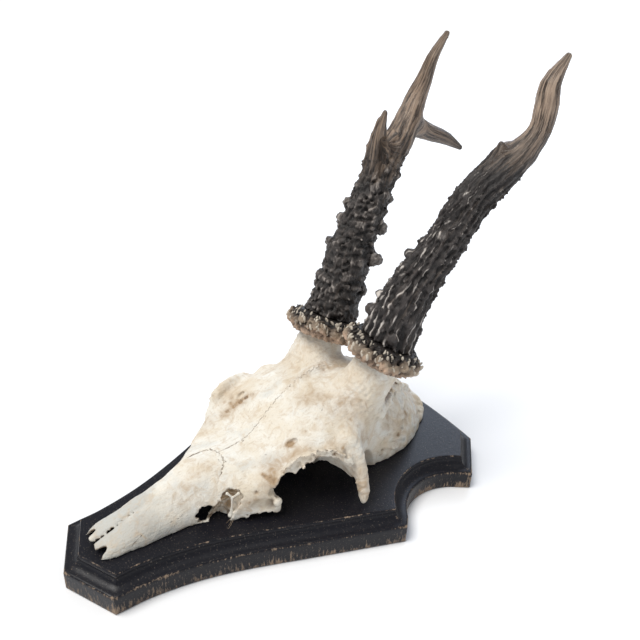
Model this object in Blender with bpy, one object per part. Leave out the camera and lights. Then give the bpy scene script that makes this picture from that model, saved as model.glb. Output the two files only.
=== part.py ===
"""Roe deer antler trophy: a cut skull with its antlers, lying on a moulded shield plaque.

The plaque lies on its back, so +Z points out of its painted face, the nose points to -Y
and the animal's left side is +X. The origin is the centre of the plaque's back.
Sizes below are in millimetres and become metres as each mesh is made.
"""
import math

import bmesh
import bpy
import numpy as np

MM = 0.001
GAP = 0.3              # air left between pieces that touch

# Plaque: outline of the flat painted face, from the pointed lower end to the wide upper end
PLAQUE_THICK = 16.1
PLAQUE_TIP_Y = -101.0
PLAQUE_CHIN = (18.8, -92.4)
PLAQUE_WAIST = ((19.6, -79.0), (23.7, -58.4), (31.4, -35.7), (44.4, -5.0))
PLAQUE_HIP = (59.2, 30.0)
BITE_CENTRE = (77.5, 61.0)
BITE_RADIUS = 35.5
PLAQUE_EAR = (51.2, 85.0)
PLAQUE_SHOULDER = (36.7, 100.7)
PLAQUE_CROWN_Y = 103.0
MOULDING_OUT = 6.6     # how far the foot of the moulding stands out past the painted face
COVE_IN = 0.5
COVE_DROP = 1.3        # the small step between the painted face and the hollow of the moulding
COVE_DEPTH = 4.2
EDGE_DROP = 6.0
BACK_ROUND = 1.2

# Skull
SKULL_FLOOR = PLAQUE_THICK + GAP
NOSE_Y = -95.0
OCCIPUT_Y = 99.0
SKULL_STATIONS = (
    # y, height at the midline, height near the side, half width, rounding of the side
    (-95, 19.8, 18.2, 8.5, 3),
    (-88, 22.0, 18.8, 11.5, 4),
    (-72, 27.9, 22.0, 12.6, 6),
    (-56, 33.6, 26.0, 13.2, 8),
    (-44, 37.6, 30.0, 17.0, 10),
    (-34, 38.9, 33.0, 23.5, 9),
    (-24, 40.0, 37.0, 29.0, 7),
    (-14, 42.6, 42.0, 32.5, 5),
    (-6, 48.5, 46.0, 34.5, 4),
    (2, 54.5, 46.0, 36.0, 4),
    (10, 59.0, 45.0, 38.5, 5),
    (20, 61.8, 43.0, 39.0, 8),
    (30, 63.0, 42.0, 34.5, 12),
    (42, 60.8, 43.0, 30.5, 16),
    (56, 56.5, 42.0, 30.5, 20),
    (70, 48.0, 34.0, 28.0, 18),
    (82, 37.5, 25.0, 22.5, 14),
    (90, 28.5, 20.0, 16.5, 9),
    (96, 22.0, 18.0, 13.0, 5),
    (99, 18.5, 16.8, 11.0, 3),
)
ORBIT_CENTRE = (45.0, 0.5, 19.0)
ORBIT_SIZE = (36.5, 18.6, 27.0)
FOSSA_CENTRE = (49.0, 34.0, 14.0)
FOSSA_SIZE = (22.5, 13.0, 27.0)
BAR_PATH = ((33.0, 19.0, 44.0), (38.5, 20.5, 38.0), (43.5, 20.6, 30.0), (46.8, 20.0, 23.0),
            (48.0, 19.2, 18.9))
BAR_RADII = (6.5, 4.4, 3.3, 2.7, 1.7)
RIM_PATH = ((30.4, -17.5, 36.5), (33.8, -10.5, 45.0), (35.8, -3.0, 47.0), (37.4, 5.0, 45.6),
            (40.0, 12.6, 40.5))
RIM_RADII = (2.4, 2.9, 3.0, 3.0, 3.2)
CREST_PATH = ((0.0, 93.5, 25.5), (6.0, 94.0, 23.5), (11.5, 94.0, 19.5), (16.0, 89.0, 17.0))
CREST_RADII = (2.0, 2.0, 2.0, 1.6)
TEMPORAL_LINE = ((29.0, 44.0, 47.0), (25.0, 52.0, 48.0), (17.0, 64.0, 47.5), (9.0, 78.0, 40.0),
                 (3.0, 90.0, 29.0))
TEMPORAL_RADIUS = 1.5
NASAL_NOTCH = (6.6, -96.0, 19.0)
NASAL_NOTCH_SIZE = (2.1, 6.0, 9.0)
NASAL_GROOVE = 1.1
FACE_POCKET = (20.5, -37.5, 25.5)
FACE_POCKET_SIZE = (5.0, 6.0, 4.6)
FACE_HOLE = (15.5, -46.5, 17.5)
FACE_HOLE_SIZE = (4.4, 4.6, 5.0)
PEDICLE_FOOT = (17.5, 30.0, 46.0)
PEDICLE_TOP = (21.0, 48.4, 73.2)
PEDICLE_RADII = (13.6, 11.0)
NASAL_HALF = 10.6
NASAL_ROOT_Y = -32.0
MAXILLA_BACK_Y = -39.5
LACRIMAL_IN = 19.0
LACRIMAL_BACK_Y = -15.0
CORONAL_FOOT_Y = 43.0
CORONAL_LEAN = 0.33

# Antlers, drawn for the animal's left; the right one mirrors the path
CORONET_AXIS = (0.10, 0.42, 0.90)
CORONET_RADIUS = 18.8
CORONET_TALL = 10.6
CORONET_OFFSET = (-1.3, -1.5, 0.0)     # the ring stands a little forward of its pedicle's axis
SEAT_DROP_RIGHT = 5.5                  # the right pedicle is this much shorter than the left
BEAM_PATH = ((19.6, 45.0, 68.0), (20.6, 49.6, 76.0), (21.0, 53.5, 90.0), (23.2, 62.0, 110.0),
             (27.0, 75.0, 130.0), (30.0, 86.4, 150.0), (32.6, 98.5, 161.0), (36.4, 108.6, 171.0))
BEAM_RADII_LEFT = (13.6, 13.4, 12.2, 10.4, 8.6, 8.4, 8.6, 6.6)
BEAM_RADII_RIGHT = (14.2, 13.6, 12.0, 10.8, 9.2, 8.2, 7.6, 6.6)
TOP_PATH = ((36.4, 108.6, 171.0), (38.8, 114.6, 180.0), (37.6, 118.2, 190.0), (36.0, 120.4, 200.0),
            (36.2, 129.4, 211.6))
TOP_RADII_LEFT = (6.6, 5.2, 5.4, 4.6, 1.6)
TOP_RADII_RIGHT = (6.6, 5.6, 4.2, 3.1, 1.5)
STUB_PATH = ((31.6, 97.0, 161.0), (31.2, 101.0, 168.0), (31.4, 103.6, 173.0))
STUB_RADII = (7.0, 5.4, 2.4)
FRONT_TINE_PATH = ((30.4, 84.2, 147.0), (30.2, 82.4, 157.0), (29.2, 81.4, 168.0), (28.6, 83.4, 177.4))
FRONT_TINE_RADII = (8.0, 6.0, 3.8, 1.1)
REAR_TINE_PATH = ((34.8, 107.0, 169.0), (35.0, 120.0, 163.0), (33.0, 134.0, 158.0), (30.6, 146.5, 151.2))
REAR_TINE_RADII = (6.2, 4.8, 3.6, 1.4)
# where the pieces part: a point, and the direction across the parting, drawn for the left
LEFT_FORK = ((34.6, 103.6, 166.0), (0.30, 0.62, 0.72))
RIGHT_FORK = ((29.8, 87.0, 149.0), (0.16, 0.45, 0.88))
FRONT_TINE_ROOT = ((30.0, 88.6, 155.0), (0.10, 0.93, -0.36))
REAR_TINE_ROOT = ((35.5, 116.0, 165.5), (-0.02, 0.94, -0.34))
PEARL_SEED = 11
PEARLS_LEFT = 34
PEARLS_RIGHT = 80
PEARLS_UP_TO = 0.76    # share of the beam's path that bears pearls
PEARL_RADIUS = (1.7, 3.0)
RIDGES_LEFT = 8
RIDGES_RIGHT = 5
RIDGE_RADIUS = 1.7
CORONET_PEARLS = 26
CORONET_PEARL_RADIUS = (2.0, 3.0)
CORONET_KNOB = (8.5, 38.0, 70.5, 3.6)   # x, y, z and size of the large knob in front of each ring
BIG_PEARLS_LEFT = ((17.1, 63.7, 124.4, 2.7), (12.7, 51.5, 104.8, 2.3), (11.2, 47.9, 97.3, 3.0),
                   (31.2, 61.5, 90.4, 1.8))
BIG_PEARLS_RIGHT = ((14.0, 70.4, 108.2, 3.8), (12.4, 72.2, 107.6, 2.8), (18.0, 77.9, 121.8, 3.4),
                    (34.2, 68.4, 132.4, 2.8), (33.0, 63.5, 126.0, 2.5), (31.5, 55.6, 115.1, 2.4),
                    (12.3, 63.4, 92.5, 2.4), (21.2, 85.1, 135.3, 2.2), (23.2, 91.1, 146.5, 2.0))

# Fineness of the solids
SKULL_STEP = 2.2
ANTLER_STEP = 1.25
SKULL_TRIANGLES = 5200
ANTLER_TRIANGLES = 2600
CORONET_TRIANGLES = 620

for item in list(bpy.data.objects):
    bpy.data.objects.remove(item, do_unlink=True)


def material(name, color, roughness):
    mat = bpy.data.materials.new(name)
    mat.use_nodes = True
    shader = mat.node_tree.nodes["Principled BSDF"]
    shader.inputs["Base Color"].default_value = (*color, 1.0)
    shader.inputs["Roughness"].default_value = roughness
    shader.inputs["Metallic"].default_value = 0.0
    return mat


BONE = (0.80, 0.74, 0.62)
CORONET_BROWN = (0.20, 0.14, 0.10)
ANTLER_DARK = (0.09, 0.065, 0.05)
ANTLER_MID = (0.24, 0.16, 0.10)
PAINT_BLACK = (0.012, 0.012, 0.014)


def new_object(name, mesh, mat):
    obj = bpy.data.objects.new(name, mesh)
    bpy.context.scene.collection.objects.link(obj)
    mesh.materials.clear()
    mesh.materials.append(mat)
    return obj


def mesh_of(name, points, faces):
    mesh = bpy.data.meshes.new(name)
    mesh.from_pydata((np.asarray(points, float) * MM).tolist(), [], faces)
    mesh.validate()
    return mesh


def smooth_min(a, b, k):
    h = np.clip(0.5 + 0.5 * (b - a) / k, 0.0, 1.0)
    return b + (a - b) * h - k * h * (1.0 - h)


def smooth_max(a, b, k):
    return -smooth_min(-a, -b, k)


def curve_through(points, count):
    """Points evenly spread in parameter along a smooth curve through the given ones."""
    pts = np.asarray(points, float)
    ends = np.vstack([2 * pts[0] - pts[1], pts, 2 * pts[-1] - pts[-2]])
    out = []
    for u in np.linspace(0.0, len(pts) - 1.0, count):
        i = min(int(u), len(pts) - 2)
        t = u - i
        a, b, c, d = ends[i:i + 4]
        out.append(0.5 * (2 * b + (c - a) * t + (2 * a - 5 * b + 4 * c - d) * t ** 2
                          + (3 * b - a - 3 * c + d) * t ** 3))
    return np.array(out)


def station_value(y, column):
    """One column of the skull's stations as a smooth function of y."""
    fine = curve_through([(row[0], row[column]) for row in SKULL_STATIONS], 200)
    return np.interp(y, fine[:, 0], fine[:, 1])


def distance_to(x, y, z, px, py, pz):
    return np.sqrt((x - px) ** 2 + (y - py) ** 2 + (z - pz) ** 2)


def tube_field(x, y, z, path, radii, count):
    """Distance to a round tube whose radius changes along a smooth path."""
    rows = curve_through(np.column_stack([np.asarray(path, float), radii]), count)
    field = np.full(x.shape, 1e3)
    for a, b in zip(rows[:-1], rows[1:]):
        d = b[:3] - a[:3]
        t = ((x - a[0]) * d[0] + (y - a[1]) * d[1] + (z - a[2]) * d[2]) / (d @ d)
        t = np.clip(t, 0.0, 1.0)
        gap = distance_to(x, y, z, a[0] + t * d[0], a[1] + t * d[1], a[2] + t * d[2])
        field = np.minimum(field, gap - (a[3] + (b[3] - a[3]) * t))
    return field


def ellipsoid_field(x, y, z, centre, size):
    u = (x - centre[0]) / size[0]
    v = (y - centre[1]) / size[1]
    w = (z - centre[2]) / size[2]
    return (np.sqrt(u * u + v * v + w * w) - 1.0) * min(size)


def joined_corners(mask):
    """True when the marked corners of a cell hang together along its edges."""
    marked = [c for c in range(8) if mask >> c & 1]
    if not marked:
        return True
    seen = [marked[0]]
    for c in seen:
        for bit in (1, 2, 4):
            if mask >> (c ^ bit) & 1 and c ^ bit not in seen:
                seen.append(c ^ bit)
    return len(seen) == len(marked)


SPLIT_CELL = np.array([not (joined_corners(m) and joined_corners(255 - m)) for m in range(256)])


def cell_codes(inside):
    code = 0
    n = inside.shape
    for c in range(8):
        i, j, k = c & 1, c >> 1 & 1, c >> 2 & 1
        code = code + (inside[i:n[0] - 1 + i, j:n[1] - 1 + j, k:n[2] - 1 + k].astype(int) << c)
    return code


def skin(field_of, low, high, step):
    """Closed surface where a field of space crosses zero, one point to each crossed cell."""
    axes = [np.arange(a - 2 * step, b + 3 * step, step) for a, b in zip(low, high)]
    x, y, z = np.meshgrid(*axes, indexing="ij")
    f = field_of(x, y, z)
    for _ in range(6):
        # a cell crossed by two sheets at once is filled, so that the surface stays simple
        bad = np.argwhere(SPLIT_CELL[cell_codes(f < 0)])
        if not len(bad):
            break
        for c in range(8):
            i, j, k = (bad + (c & 1, c >> 1 & 1, c >> 2 & 1)).T
            f[i, j, k] = np.minimum(f[i, j, k], -0.02 * step)
    inside = f < 0
    code = cell_codes(inside)
    crossed = (code > 0) & (code < 255)
    index = np.full(crossed.shape, -1)
    index[crossed] = np.arange(crossed.sum())
    cells = np.argwhere(crossed)
    total = np.zeros((len(cells), 3))
    hits = np.zeros(len(cells))
    corner = np.array([(c & 1, c >> 1 & 1, c >> 2 & 1) for c in range(8)])
    for a in range(8):
        for bit in (1, 2, 4):
            b = a | bit
            if b == a:
                continue
            va = f[tuple((cells + corner[a]).T)]
            vb = f[tuple((cells + corner[b]).T)]
            cut = (va < 0) != (vb < 0)
            t = va[cut] / (va[cut] - vb[cut])
            total[cut] += corner[a] + t[:, None] * (corner[b] - corner[a])
            hits[cut] += 1
    origin = np.array([axis[0] for axis in axes])
    points = origin + step * (cells + total / hits[:, None])
    faces = []
    for axis in range(3):
        u, v = (axis + 1) % 3, (axis + 2) % 3
        n = list(f.shape)
        n[axis] -= 1
        first = [slice(1, s - 1) for s in n]
        first[axis] = slice(0, n[axis])
        second = list(first)
        second[axis] = slice(1, n[axis] + 1)
        a, b = inside[tuple(first)], inside[tuple(second)]
        spots = np.argwhere(a != b)
        out = a[a != b]
        base = spots.copy()
        base[:, u] += 1
        base[:, v] += 1
        ring = []
        for du, dv in ((-1, -1), (0, -1), (0, 0), (-1, 0)):
            cell = base.copy()
            cell[:, u] += du
            cell[:, v] += dv
            ring.append(index[tuple(cell.T)])
        ring = np.column_stack(ring)
        ring[~out] = ring[~out][:, ::-1]
        faces.append(ring)
    return points, np.vstack(faces)


def largest_piece(mesh):
    """Keep only the closed surface with the most room inside."""
    bm = bmesh.new()
    bm.from_mesh(mesh)
    bm.verts.ensure_lookup_table()
    left = set(bm.verts)
    best, best_size = None, -1.0
    while left:
        stack = [left.pop()]
        group = set(stack)
        while stack:
            for edge in stack.pop().link_edges:
                for vert in edge.verts:
                    if vert not in group:
                        group.add(vert)
                        left.discard(vert)
                        stack.append(vert)
        box = np.array([v.co[:] for v in group])
        size = float(np.prod(box.max(0) - box.min(0) + 1e-6))
        if size > best_size:
            best, best_size = group, size
    bmesh.ops.delete(bm, geom=[v for v in bm.verts if v not in best], context="VERTS")
    bmesh.ops.recalc_face_normals(bm, faces=bm.faces)
    bm.to_mesh(mesh)
    bm.free()


def finished(obj):
    """The object's shape with its modifiers applied, as a plain mesh."""
    graph = bpy.context.evaluated_depsgraph_get()
    mesh = bpy.data.meshes.new_from_object(obj.evaluated_get(graph))
    largest_piece(mesh)
    return mesh


def thinned(points, faces, triangles, name):
    """A mesh from skin(), with its flat stretches made of fewer, larger triangles."""
    obj = new_object(name, mesh_of(name, points, faces.tolist()), BONE_MAT)
    mod = obj.modifiers.new("Thin", "DECIMATE")
    mod.ratio = min(1.0, triangles / (2.0 * len(faces)))
    mod.use_collapse_triangulate = True
    mesh = finished(obj)
    bpy.data.objects.remove(obj, do_unlink=True)
    return mesh


def half_space(point, normal, reach=300.0):
    """A large block that fills the side of a plane that its normal points to."""
    n = np.asarray(normal, float)
    n = n / np.linalg.norm(n)
    side = np.cross(n, (0.0, 0.0, 1.0) if abs(n[2]) < 0.9 else (1.0, 0.0, 0.0))
    side = side / np.linalg.norm(side)
    up = np.cross(n, side)
    p = np.asarray(point, float)
    corners = [p + reach * (i * side + j * up) + k * reach * n
               for i in (-1, 1) for j in (-1, 1) for k in (0, 1)]
    faces = [(0, 1, 3, 2), (4, 6, 7, 5), (0, 4, 5, 1), (2, 3, 7, 6), (0, 2, 6, 4), (1, 5, 7, 3)]
    mesh = mesh_of("half", corners, faces)
    bm = bmesh.new()
    bm.from_mesh(mesh)
    bmesh.ops.recalc_face_normals(bm, faces=bm.faces)
    bm.to_mesh(mesh)
    bm.free()
    return mesh


def prism(outline, low_z, high_z):
    """A closed upright block over an outline that runs round its area anticlockwise."""
    n = len(outline)
    points = [(x, y, low_z) for x, y in outline] + [(x, y, high_z) for x, y in outline]
    faces = [tuple(range(n))[::-1], tuple(range(n, 2 * n))]
    faces += [(i, (i + 1) % n, n + (i + 1) % n, n + i) for i in range(n)]
    return mesh_of("prism", points, faces)


def carve(mesh, steps, name, mat):
    """Cut a mesh with a list of (operation, cutter mesh) and keep the largest piece."""
    obj = new_object(name, mesh.copy(), mat)
    cutters = []
    for number, (operation, cutter_mesh) in enumerate(steps):
        cutter = new_object("cutter_%s_%d" % (name, number), cutter_mesh, mat)
        cutter.hide_render = True
        cutter.display_type = "WIRE"
        cutters.append(cutter)
        mod = obj.modifiers.new("Cut", "BOOLEAN")
        mod.operation = operation
        mod.solver = "EXACT"
        mod.object = cutter
    bpy.context.view_layer.update()
    result = finished(obj)
    for cutter in cutters:
        bpy.data.objects.remove(cutter, do_unlink=True)
    bpy.data.objects.remove(obj, do_unlink=True)
    piece = new_object(name, result, mat)
    result.name = name
    result.shade_smooth()
    result.set_sharp_from_angle(angle=math.radians(50))
    return piece


BONE_MAT = material("bone", BONE, 0.55)
CORONET_MAT = material("coronet", CORONET_BROWN, 0.6)
BEAM_MAT = material("antler_beam", ANTLER_DARK, 0.5)
TINE_MAT = material("antler_tine", ANTLER_MID, 0.4)
PLAQUE_MAT = material("plaque_paint", PAINT_BLACK, 0.35)


def plaque_outline():
    """Right half of the painted face, from the pointed end round to the crown."""
    half = [(0.0, PLAQUE_TIP_Y), PLAQUE_CHIN]
    side = curve_through([PLAQUE_CHIN, *PLAQUE_WAIST, PLAQUE_HIP], 16)
    half += [tuple(p) for p in side[1:]]
    start = math.atan2(PLAQUE_HIP[1] + 1.0 - BITE_CENTRE[1], PLAQUE_HIP[0] - 1.5 - BITE_CENTRE[0])
    end = math.atan2(PLAQUE_EAR[1] - 1.5 - BITE_CENTRE[1], PLAQUE_EAR[0] - 1.0 - BITE_CENTRE[0])
    start = start % (2 * math.pi)
    end = end % (2 * math.pi)
    for turn in np.linspace(start, end, 13):
        half.append((BITE_CENTRE[0] + BITE_RADIUS * math.cos(turn),
                     BITE_CENTRE[1] + BITE_RADIUS * math.sin(turn)))
    half += [PLAQUE_EAR, PLAQUE_SHOULDER]
    for share in (0.75, 0.5, 0.25, 0.0):
        rise = (PLAQUE_CROWN_Y - PLAQUE_SHOULDER[1]) * (1.0 - share ** 2)
        half.append((PLAQUE_SHOULDER[0] * share, PLAQUE_SHOULDER[1] + rise))
    return half


def offset_outline(outline, distance):
    """Move a closed anticlockwise outline outwards, with mitred corners."""
    pts = np.array(outline)
    before = pts - np.roll(pts, 1, axis=0)
    after = np.roll(pts, -1, axis=0) - pts
    n1 = np.column_stack([before[:, 1], -before[:, 0]]) / np.linalg.norm(before, axis=1)[:, None]
    n2 = np.column_stack([after[:, 1], -after[:, 0]]) / np.linalg.norm(after, axis=1)[:, None]
    mitre = (n1 + n2) / (1.0 + np.sum(n1 * n2, axis=1))[:, None]
    return pts + distance * mitre


def plaque_levels():
    """(outward offset, height) of each ring of the moulding, from the painted face down."""
    top = PLAQUE_THICK
    levels = [(0.0, top), (COVE_IN, top - COVE_DROP)]
    cove_width = MOULDING_OUT - 1.1 - COVE_IN
    for step in range(1, 6):
        angle = math.pi / 2 * step / 5
        levels.append((COVE_IN + cove_width * (1 - math.cos(angle)),
                       top - COVE_DROP - COVE_DEPTH * math.sin(angle)))
    levels += [(MOULDING_OUT - 0.3, top - EDGE_DROP), (MOULDING_OUT, top - EDGE_DROP - 0.8),
               (MOULDING_OUT, BACK_ROUND), (MOULDING_OUT - 1.0, 0.0)]
    return levels


def make_plaque():
    half = plaque_outline()
    outline = half + [(-x, y) for x, y in half[-2:0:-1]]
    levels = plaque_levels()
    rings = [offset_outline(outline, d) for d, _ in levels]
    n = len(outline)
    points = [(x, y, z) for ring, (_, z) in zip(rings, levels) for x, y in ring]
    faces = [tuple(range(n)), tuple(range(len(points) - n, len(points)))[::-1]]
    for k in range(len(levels) - 1):
        a, b = k * n, (k + 1) * n
        faces += [(a + i, b + i, b + (i + 1) % n, a + (i + 1) % n) for i in range(n)]
    mesh = mesh_of("plaque", points, faces)
    obj = new_object("plaque", mesh, PLAQUE_MAT)
    mesh.shade_smooth()
    mesh.set_sharp_from_angle(angle=math.radians(30))
    return obj


def skull_field(x, y, z):
    """Negative inside the whole cut skull with its pedicles and postorbital bars."""
    ax = np.abs(x)
    mid = station_value(y, 1)
    edge = station_value(y, 2)
    half = station_value(y, 3)
    rounding = station_value(y, 4)
    top = mid - (mid - edge) * (ax / half) ** 2
    body = smooth_max(z - top, ax - half, rounding)
    body = np.maximum(body, np.maximum(NOSE_Y - y, y - OCCIPUT_Y))
    body = smooth_min(body, tube_field(ax, y, z, CREST_PATH, CREST_RADII, 8), 3.0)
    line = tube_field(ax, y, z, TEMPORAL_LINE, [TEMPORAL_RADIUS] * len(TEMPORAL_LINE), 12)
    body = smooth_min(body, line, 3.0)
    nose = 0.5 - 0.5 * np.tanh((y + 42.0) / 5.0)
    body = body + NASAL_GROOVE * nose * np.exp(-(x / 2.2) ** 2)
    rim = tube_field(ax, y, z, RIM_PATH, RIM_RADII, 10)
    body = smooth_min(body, rim, 4.0)
    for centre, size in ((NASAL_NOTCH, NASAL_NOTCH_SIZE), (FACE_POCKET, FACE_POCKET_SIZE),
                         (FACE_HOLE, FACE_HOLE_SIZE)):
        body = smooth_max(body, -ellipsoid_field(ax, y, z, centre, size), 1.0)
    orbit = ellipsoid_field(ax, y, z, ORBIT_CENTRE, ORBIT_SIZE)
    fossa = ellipsoid_field(ax, y, z, FOSSA_CENTRE, FOSSA_SIZE)
    body = smooth_max(body, -orbit, 2.5)
    body = smooth_max(body, -fossa, 3.0)
    bar = tube_field(ax, y, z, BAR_PATH, BAR_RADII, 12)
    body = smooth_min(body, bar, 4.0)
    pedicle = tube_field(ax, y, z, (PEDICLE_FOOT, PEDICLE_TOP), PEDICLE_RADII, 2)
    body = smooth_min(body, pedicle, 9.0)
    return np.maximum(body, SKULL_FLOOR - z)


def seat_point(side):
    """Centre of the top of a pedicle, drawn for the left side."""
    top = np.array(PEDICLE_TOP)
    down = np.array(PEDICLE_FOOT) - top
    drop = 0.0 if side > 0 else SEAT_DROP_RIGHT
    return top + drop * down / np.linalg.norm(down)


def coronet_plane(side, shift):
    """Point and upward normal of the seat of an antler's coronet, moved along its axis."""
    n = np.array(CORONET_AXIS) / np.linalg.norm(CORONET_AXIS)
    point = seat_point(side) + shift * n
    return point * (side, 1, 1), n * (side, 1, 1)


def make_skull():
    low, high = (-52.0, NOSE_Y, SKULL_FLOOR), (52.0, OCCIPUT_Y, 84.0)
    points, faces = skin(skull_field, low, high, SKULL_STEP)
    whole = thinned(points, faces, SKULL_TRIANGLES, "skull")
    far = 140.0
    floor = ("DIFFERENCE", half_space((0, 0, SKULL_FLOOR), (0, 0, -1)))
    seats = []
    for side in (1, -1):
        point, normal = coronet_plane(side, 0.0)
        seats.append(("DIFFERENCE", half_space(point, normal, 40.0)))
    coronal_normal = np.array((0.0, 1.0, -CORONAL_LEAN))
    foot = np.array((0.0, CORONAL_FOOT_Y, SKULL_FLOOR))
    step = 0.5 * GAP * coronal_normal / np.linalg.norm(coronal_normal)
    carve(whole, [floor, ("DIFFERENCE", half_space(foot + step, -coronal_normal))], "braincase", BONE_MAT)
    front = ("DIFFERENCE", half_space(foot - step, coronal_normal))
    h = 0.5 * GAP
    for side, word in ((1, "left"), (-1, "right")):
        def plan(points_xy):
            flat = [(side * px, py) for px, py in points_xy]
            return flat if side > 0 else flat[::-1]
        nasal = [(h, -far), (NASAL_HALF - h, -far), (NASAL_HALF - h, MAXILLA_BACK_Y - 3.0),
                 (NASAL_HALF - 2.4, MAXILLA_BACK_Y + 3.0), (h, NASAL_ROOT_Y - 0.3)]
        nasal_out = [(-h, -far), (NASAL_HALF + h, -far), (NASAL_HALF + h, MAXILLA_BACK_Y - 3.0),
                     (NASAL_HALF - 2.4 + h, MAXILLA_BACK_Y + 3.2), (-h, NASAL_ROOT_Y + 0.3)]
        maxilla = [(0.0, -far), (far, -far), (far, MAXILLA_BACK_Y - h), (0.0, MAXILLA_BACK_Y - h)]
        lacrimal = [(LACRIMAL_IN, MAXILLA_BACK_Y + h), (far, MAXILLA_BACK_Y + h), (far, LACRIMAL_BACK_Y),
                    (LACRIMAL_IN + 5.0, LACRIMAL_BACK_Y)]
        lacrimal_out = [(LACRIMAL_IN - GAP, MAXILLA_BACK_Y - far), (far + 1, MAXILLA_BACK_Y - far),
                        (far + 1, LACRIMAL_BACK_Y + GAP), (LACRIMAL_IN + 4.8, LACRIMAL_BACK_Y + GAP),
                        (LACRIMAL_IN - GAP, MAXILLA_BACK_Y)]
        half_side = ("DIFFERENCE", half_space((side * h, 0, 0), (-side, 0, 0)))
        carve(whole, [floor, ("INTERSECT", prism(plan(nasal), 0, 120))], "nasal_" + word, BONE_MAT)
        carve(whole, [floor, ("INTERSECT", prism(plan(maxilla), 0, 120)),
                      ("DIFFERENCE", prism(plan(nasal_out), -1, 121))], "maxilla_" + word, BONE_MAT)
        carve(whole, [floor, ("INTERSECT", prism(plan(lacrimal), 0, 120))], "lacrimal_" + word, BONE_MAT)
        rear = ("DIFFERENCE", half_space((0, MAXILLA_BACK_Y + h, 0), (0, -1, 0)))
        carve(whole, [floor, front, half_side, rear, ("DIFFERENCE", prism(plan(nasal_out), -1, 121)),
                      ("DIFFERENCE", prism(plan(lacrimal_out), -2, 122)), seats[0 if side > 0 else 1]],
              "frontal_" + word, BONE_MAT)


def pearl_spots(count, seed, path, radii):
    """Seeded places on a beam's surface, thickest near its foot, with a size for each."""
    rng = np.random.default_rng(seed)
    rows = curve_through(np.column_stack([np.asarray(path, float), radii]), 60)
    spots = []
    for number in range(count):
        share = PEARLS_UP_TO * ((number + rng.uniform(0.0, 1.0)) / count) ** 1.1
        i = min(int(share * 58), 57)
        centre, radius = rows[i, :3], rows[i, 3]
        along = rows[i + 1, :3] - rows[i, :3]
        along = along / np.linalg.norm(along)
        side = np.cross(along, (0.0, 1.0, 0.0))
        side = side / np.linalg.norm(side)
        other = np.cross(along, side)
        angle = number * 2.399963 + rng.uniform(-0.4, 0.4)
        size = rng.uniform(*PEARL_RADIUS) * (1.1 - 0.35 * share)
        out = radius - 0.35 * size
        spots.append((*(centre + out * (math.cos(angle) * side + math.sin(angle) * other)), size))
    return spots


def ridge_paths(count, seed, path, radii):
    """Wandering lines along a beam's surface, where its long ridges stand."""
    rng = np.random.default_rng(seed)
    rows = curve_through(np.column_stack([np.asarray(path, float), radii]), 12)
    lines = []
    for number in range(count):
        angle = 2 * math.pi * (number + rng.uniform(-0.2, 0.2)) / count
        line = []
        for i in range(len(rows)):
            along = rows[min(i + 1, len(rows) - 1), :3] - rows[max(i - 1, 0), :3]
            along = along / np.linalg.norm(along)
            side = np.cross(along, (0.0, 1.0, 0.0))
            side = side / np.linalg.norm(side)
            other = np.cross(along, side)
            out = rows[i, 3] - 0.75 * RIDGE_RADIUS + rng.uniform(-0.3, 0.3)
            angle += rng.uniform(-0.07, 0.07)
            line.append(rows[i, :3] + out * (math.cos(angle) * side + math.sin(angle) * other))
        lines.append(line)
    return lines


def antler_field(x, y, z, beam_radii, top_radii, tines, pearls, ridges):
    field = tube_field(x, y, z, BEAM_PATH, beam_radii, 18)
    field = smooth_min(field, tube_field(x, y, z, TOP_PATH, top_radii, 12), 1.5)
    for path, radii in tines:
        field = smooth_min(field, tube_field(x, y, z, path, radii, 8), 3.0)
    for line in ridges:
        radii = np.linspace(RIDGE_RADIUS, 0.7 * RIDGE_RADIUS, len(line))
        field = smooth_min(field, tube_field(x, y, z, line, radii, len(line)), 1.0)
    for px, py, pz, size in pearls:
        field = smooth_min(field, distance_to(x, y, z, px, py, pz) - size, 0.8)
    return field


def mirrored(mesh):
    bm = bmesh.new()
    bm.from_mesh(mesh)
    for vert in bm.verts:
        vert.co.x = -vert.co.x
    bmesh.ops.reverse_faces(bm, faces=bm.faces)
    bm.to_mesh(mesh)
    bm.free()
    return mesh


def parting(point, normal, side):
    """The two cutters of a thin gap across a piece: what they take is above it and below it."""
    n = np.array(normal, float) / np.linalg.norm(normal)
    p = np.array(point, float)
    flip = np.array((side, 1, 1))
    take_above = ("DIFFERENCE", half_space((p - 0.5 * GAP * n) * flip, n * flip))
    take_below = ("DIFFERENCE", half_space((p + 0.5 * GAP * n) * flip, -n * flip))
    return take_above, take_below


def make_antler(side, word, beam_radii, top_radii, tines, fork):
    """One antler in one piece, with the cutters that leave its beam and those that leave its top."""
    left = side > 0
    pearl_count = PEARLS_LEFT if left else PEARLS_RIGHT
    ridge_count = RIDGES_LEFT if left else RIDGES_RIGHT
    pearls = pearl_spots(pearl_count, PEARL_SEED + side, BEAM_PATH, beam_radii)
    pearls += BIG_PEARLS_LEFT if left else BIG_PEARLS_RIGHT
    ridges = ridge_paths(ridge_count, PEARL_SEED + 5 + side, BEAM_PATH, beam_radii)

    def field(x, y, z):
        return antler_field(x, y, z, beam_radii, top_radii, tines, pearls, ridges)

    points, faces = skin(field, (2.0, 28.0, 50.0), (50.0, 152.0, 215.0), ANTLER_STEP)
    mesh = thinned(points, faces, ANTLER_TRIANGLES, "antler_" + word)
    if side < 0:
        mirrored(mesh)
    head, normal = coronet_plane(side, CORONET_TALL + 2 * GAP)
    foot = ("DIFFERENCE", half_space(head, -normal))
    take_above, take_below = parting(*fork, side)
    return mesh, [foot, take_above], [take_below]


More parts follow.
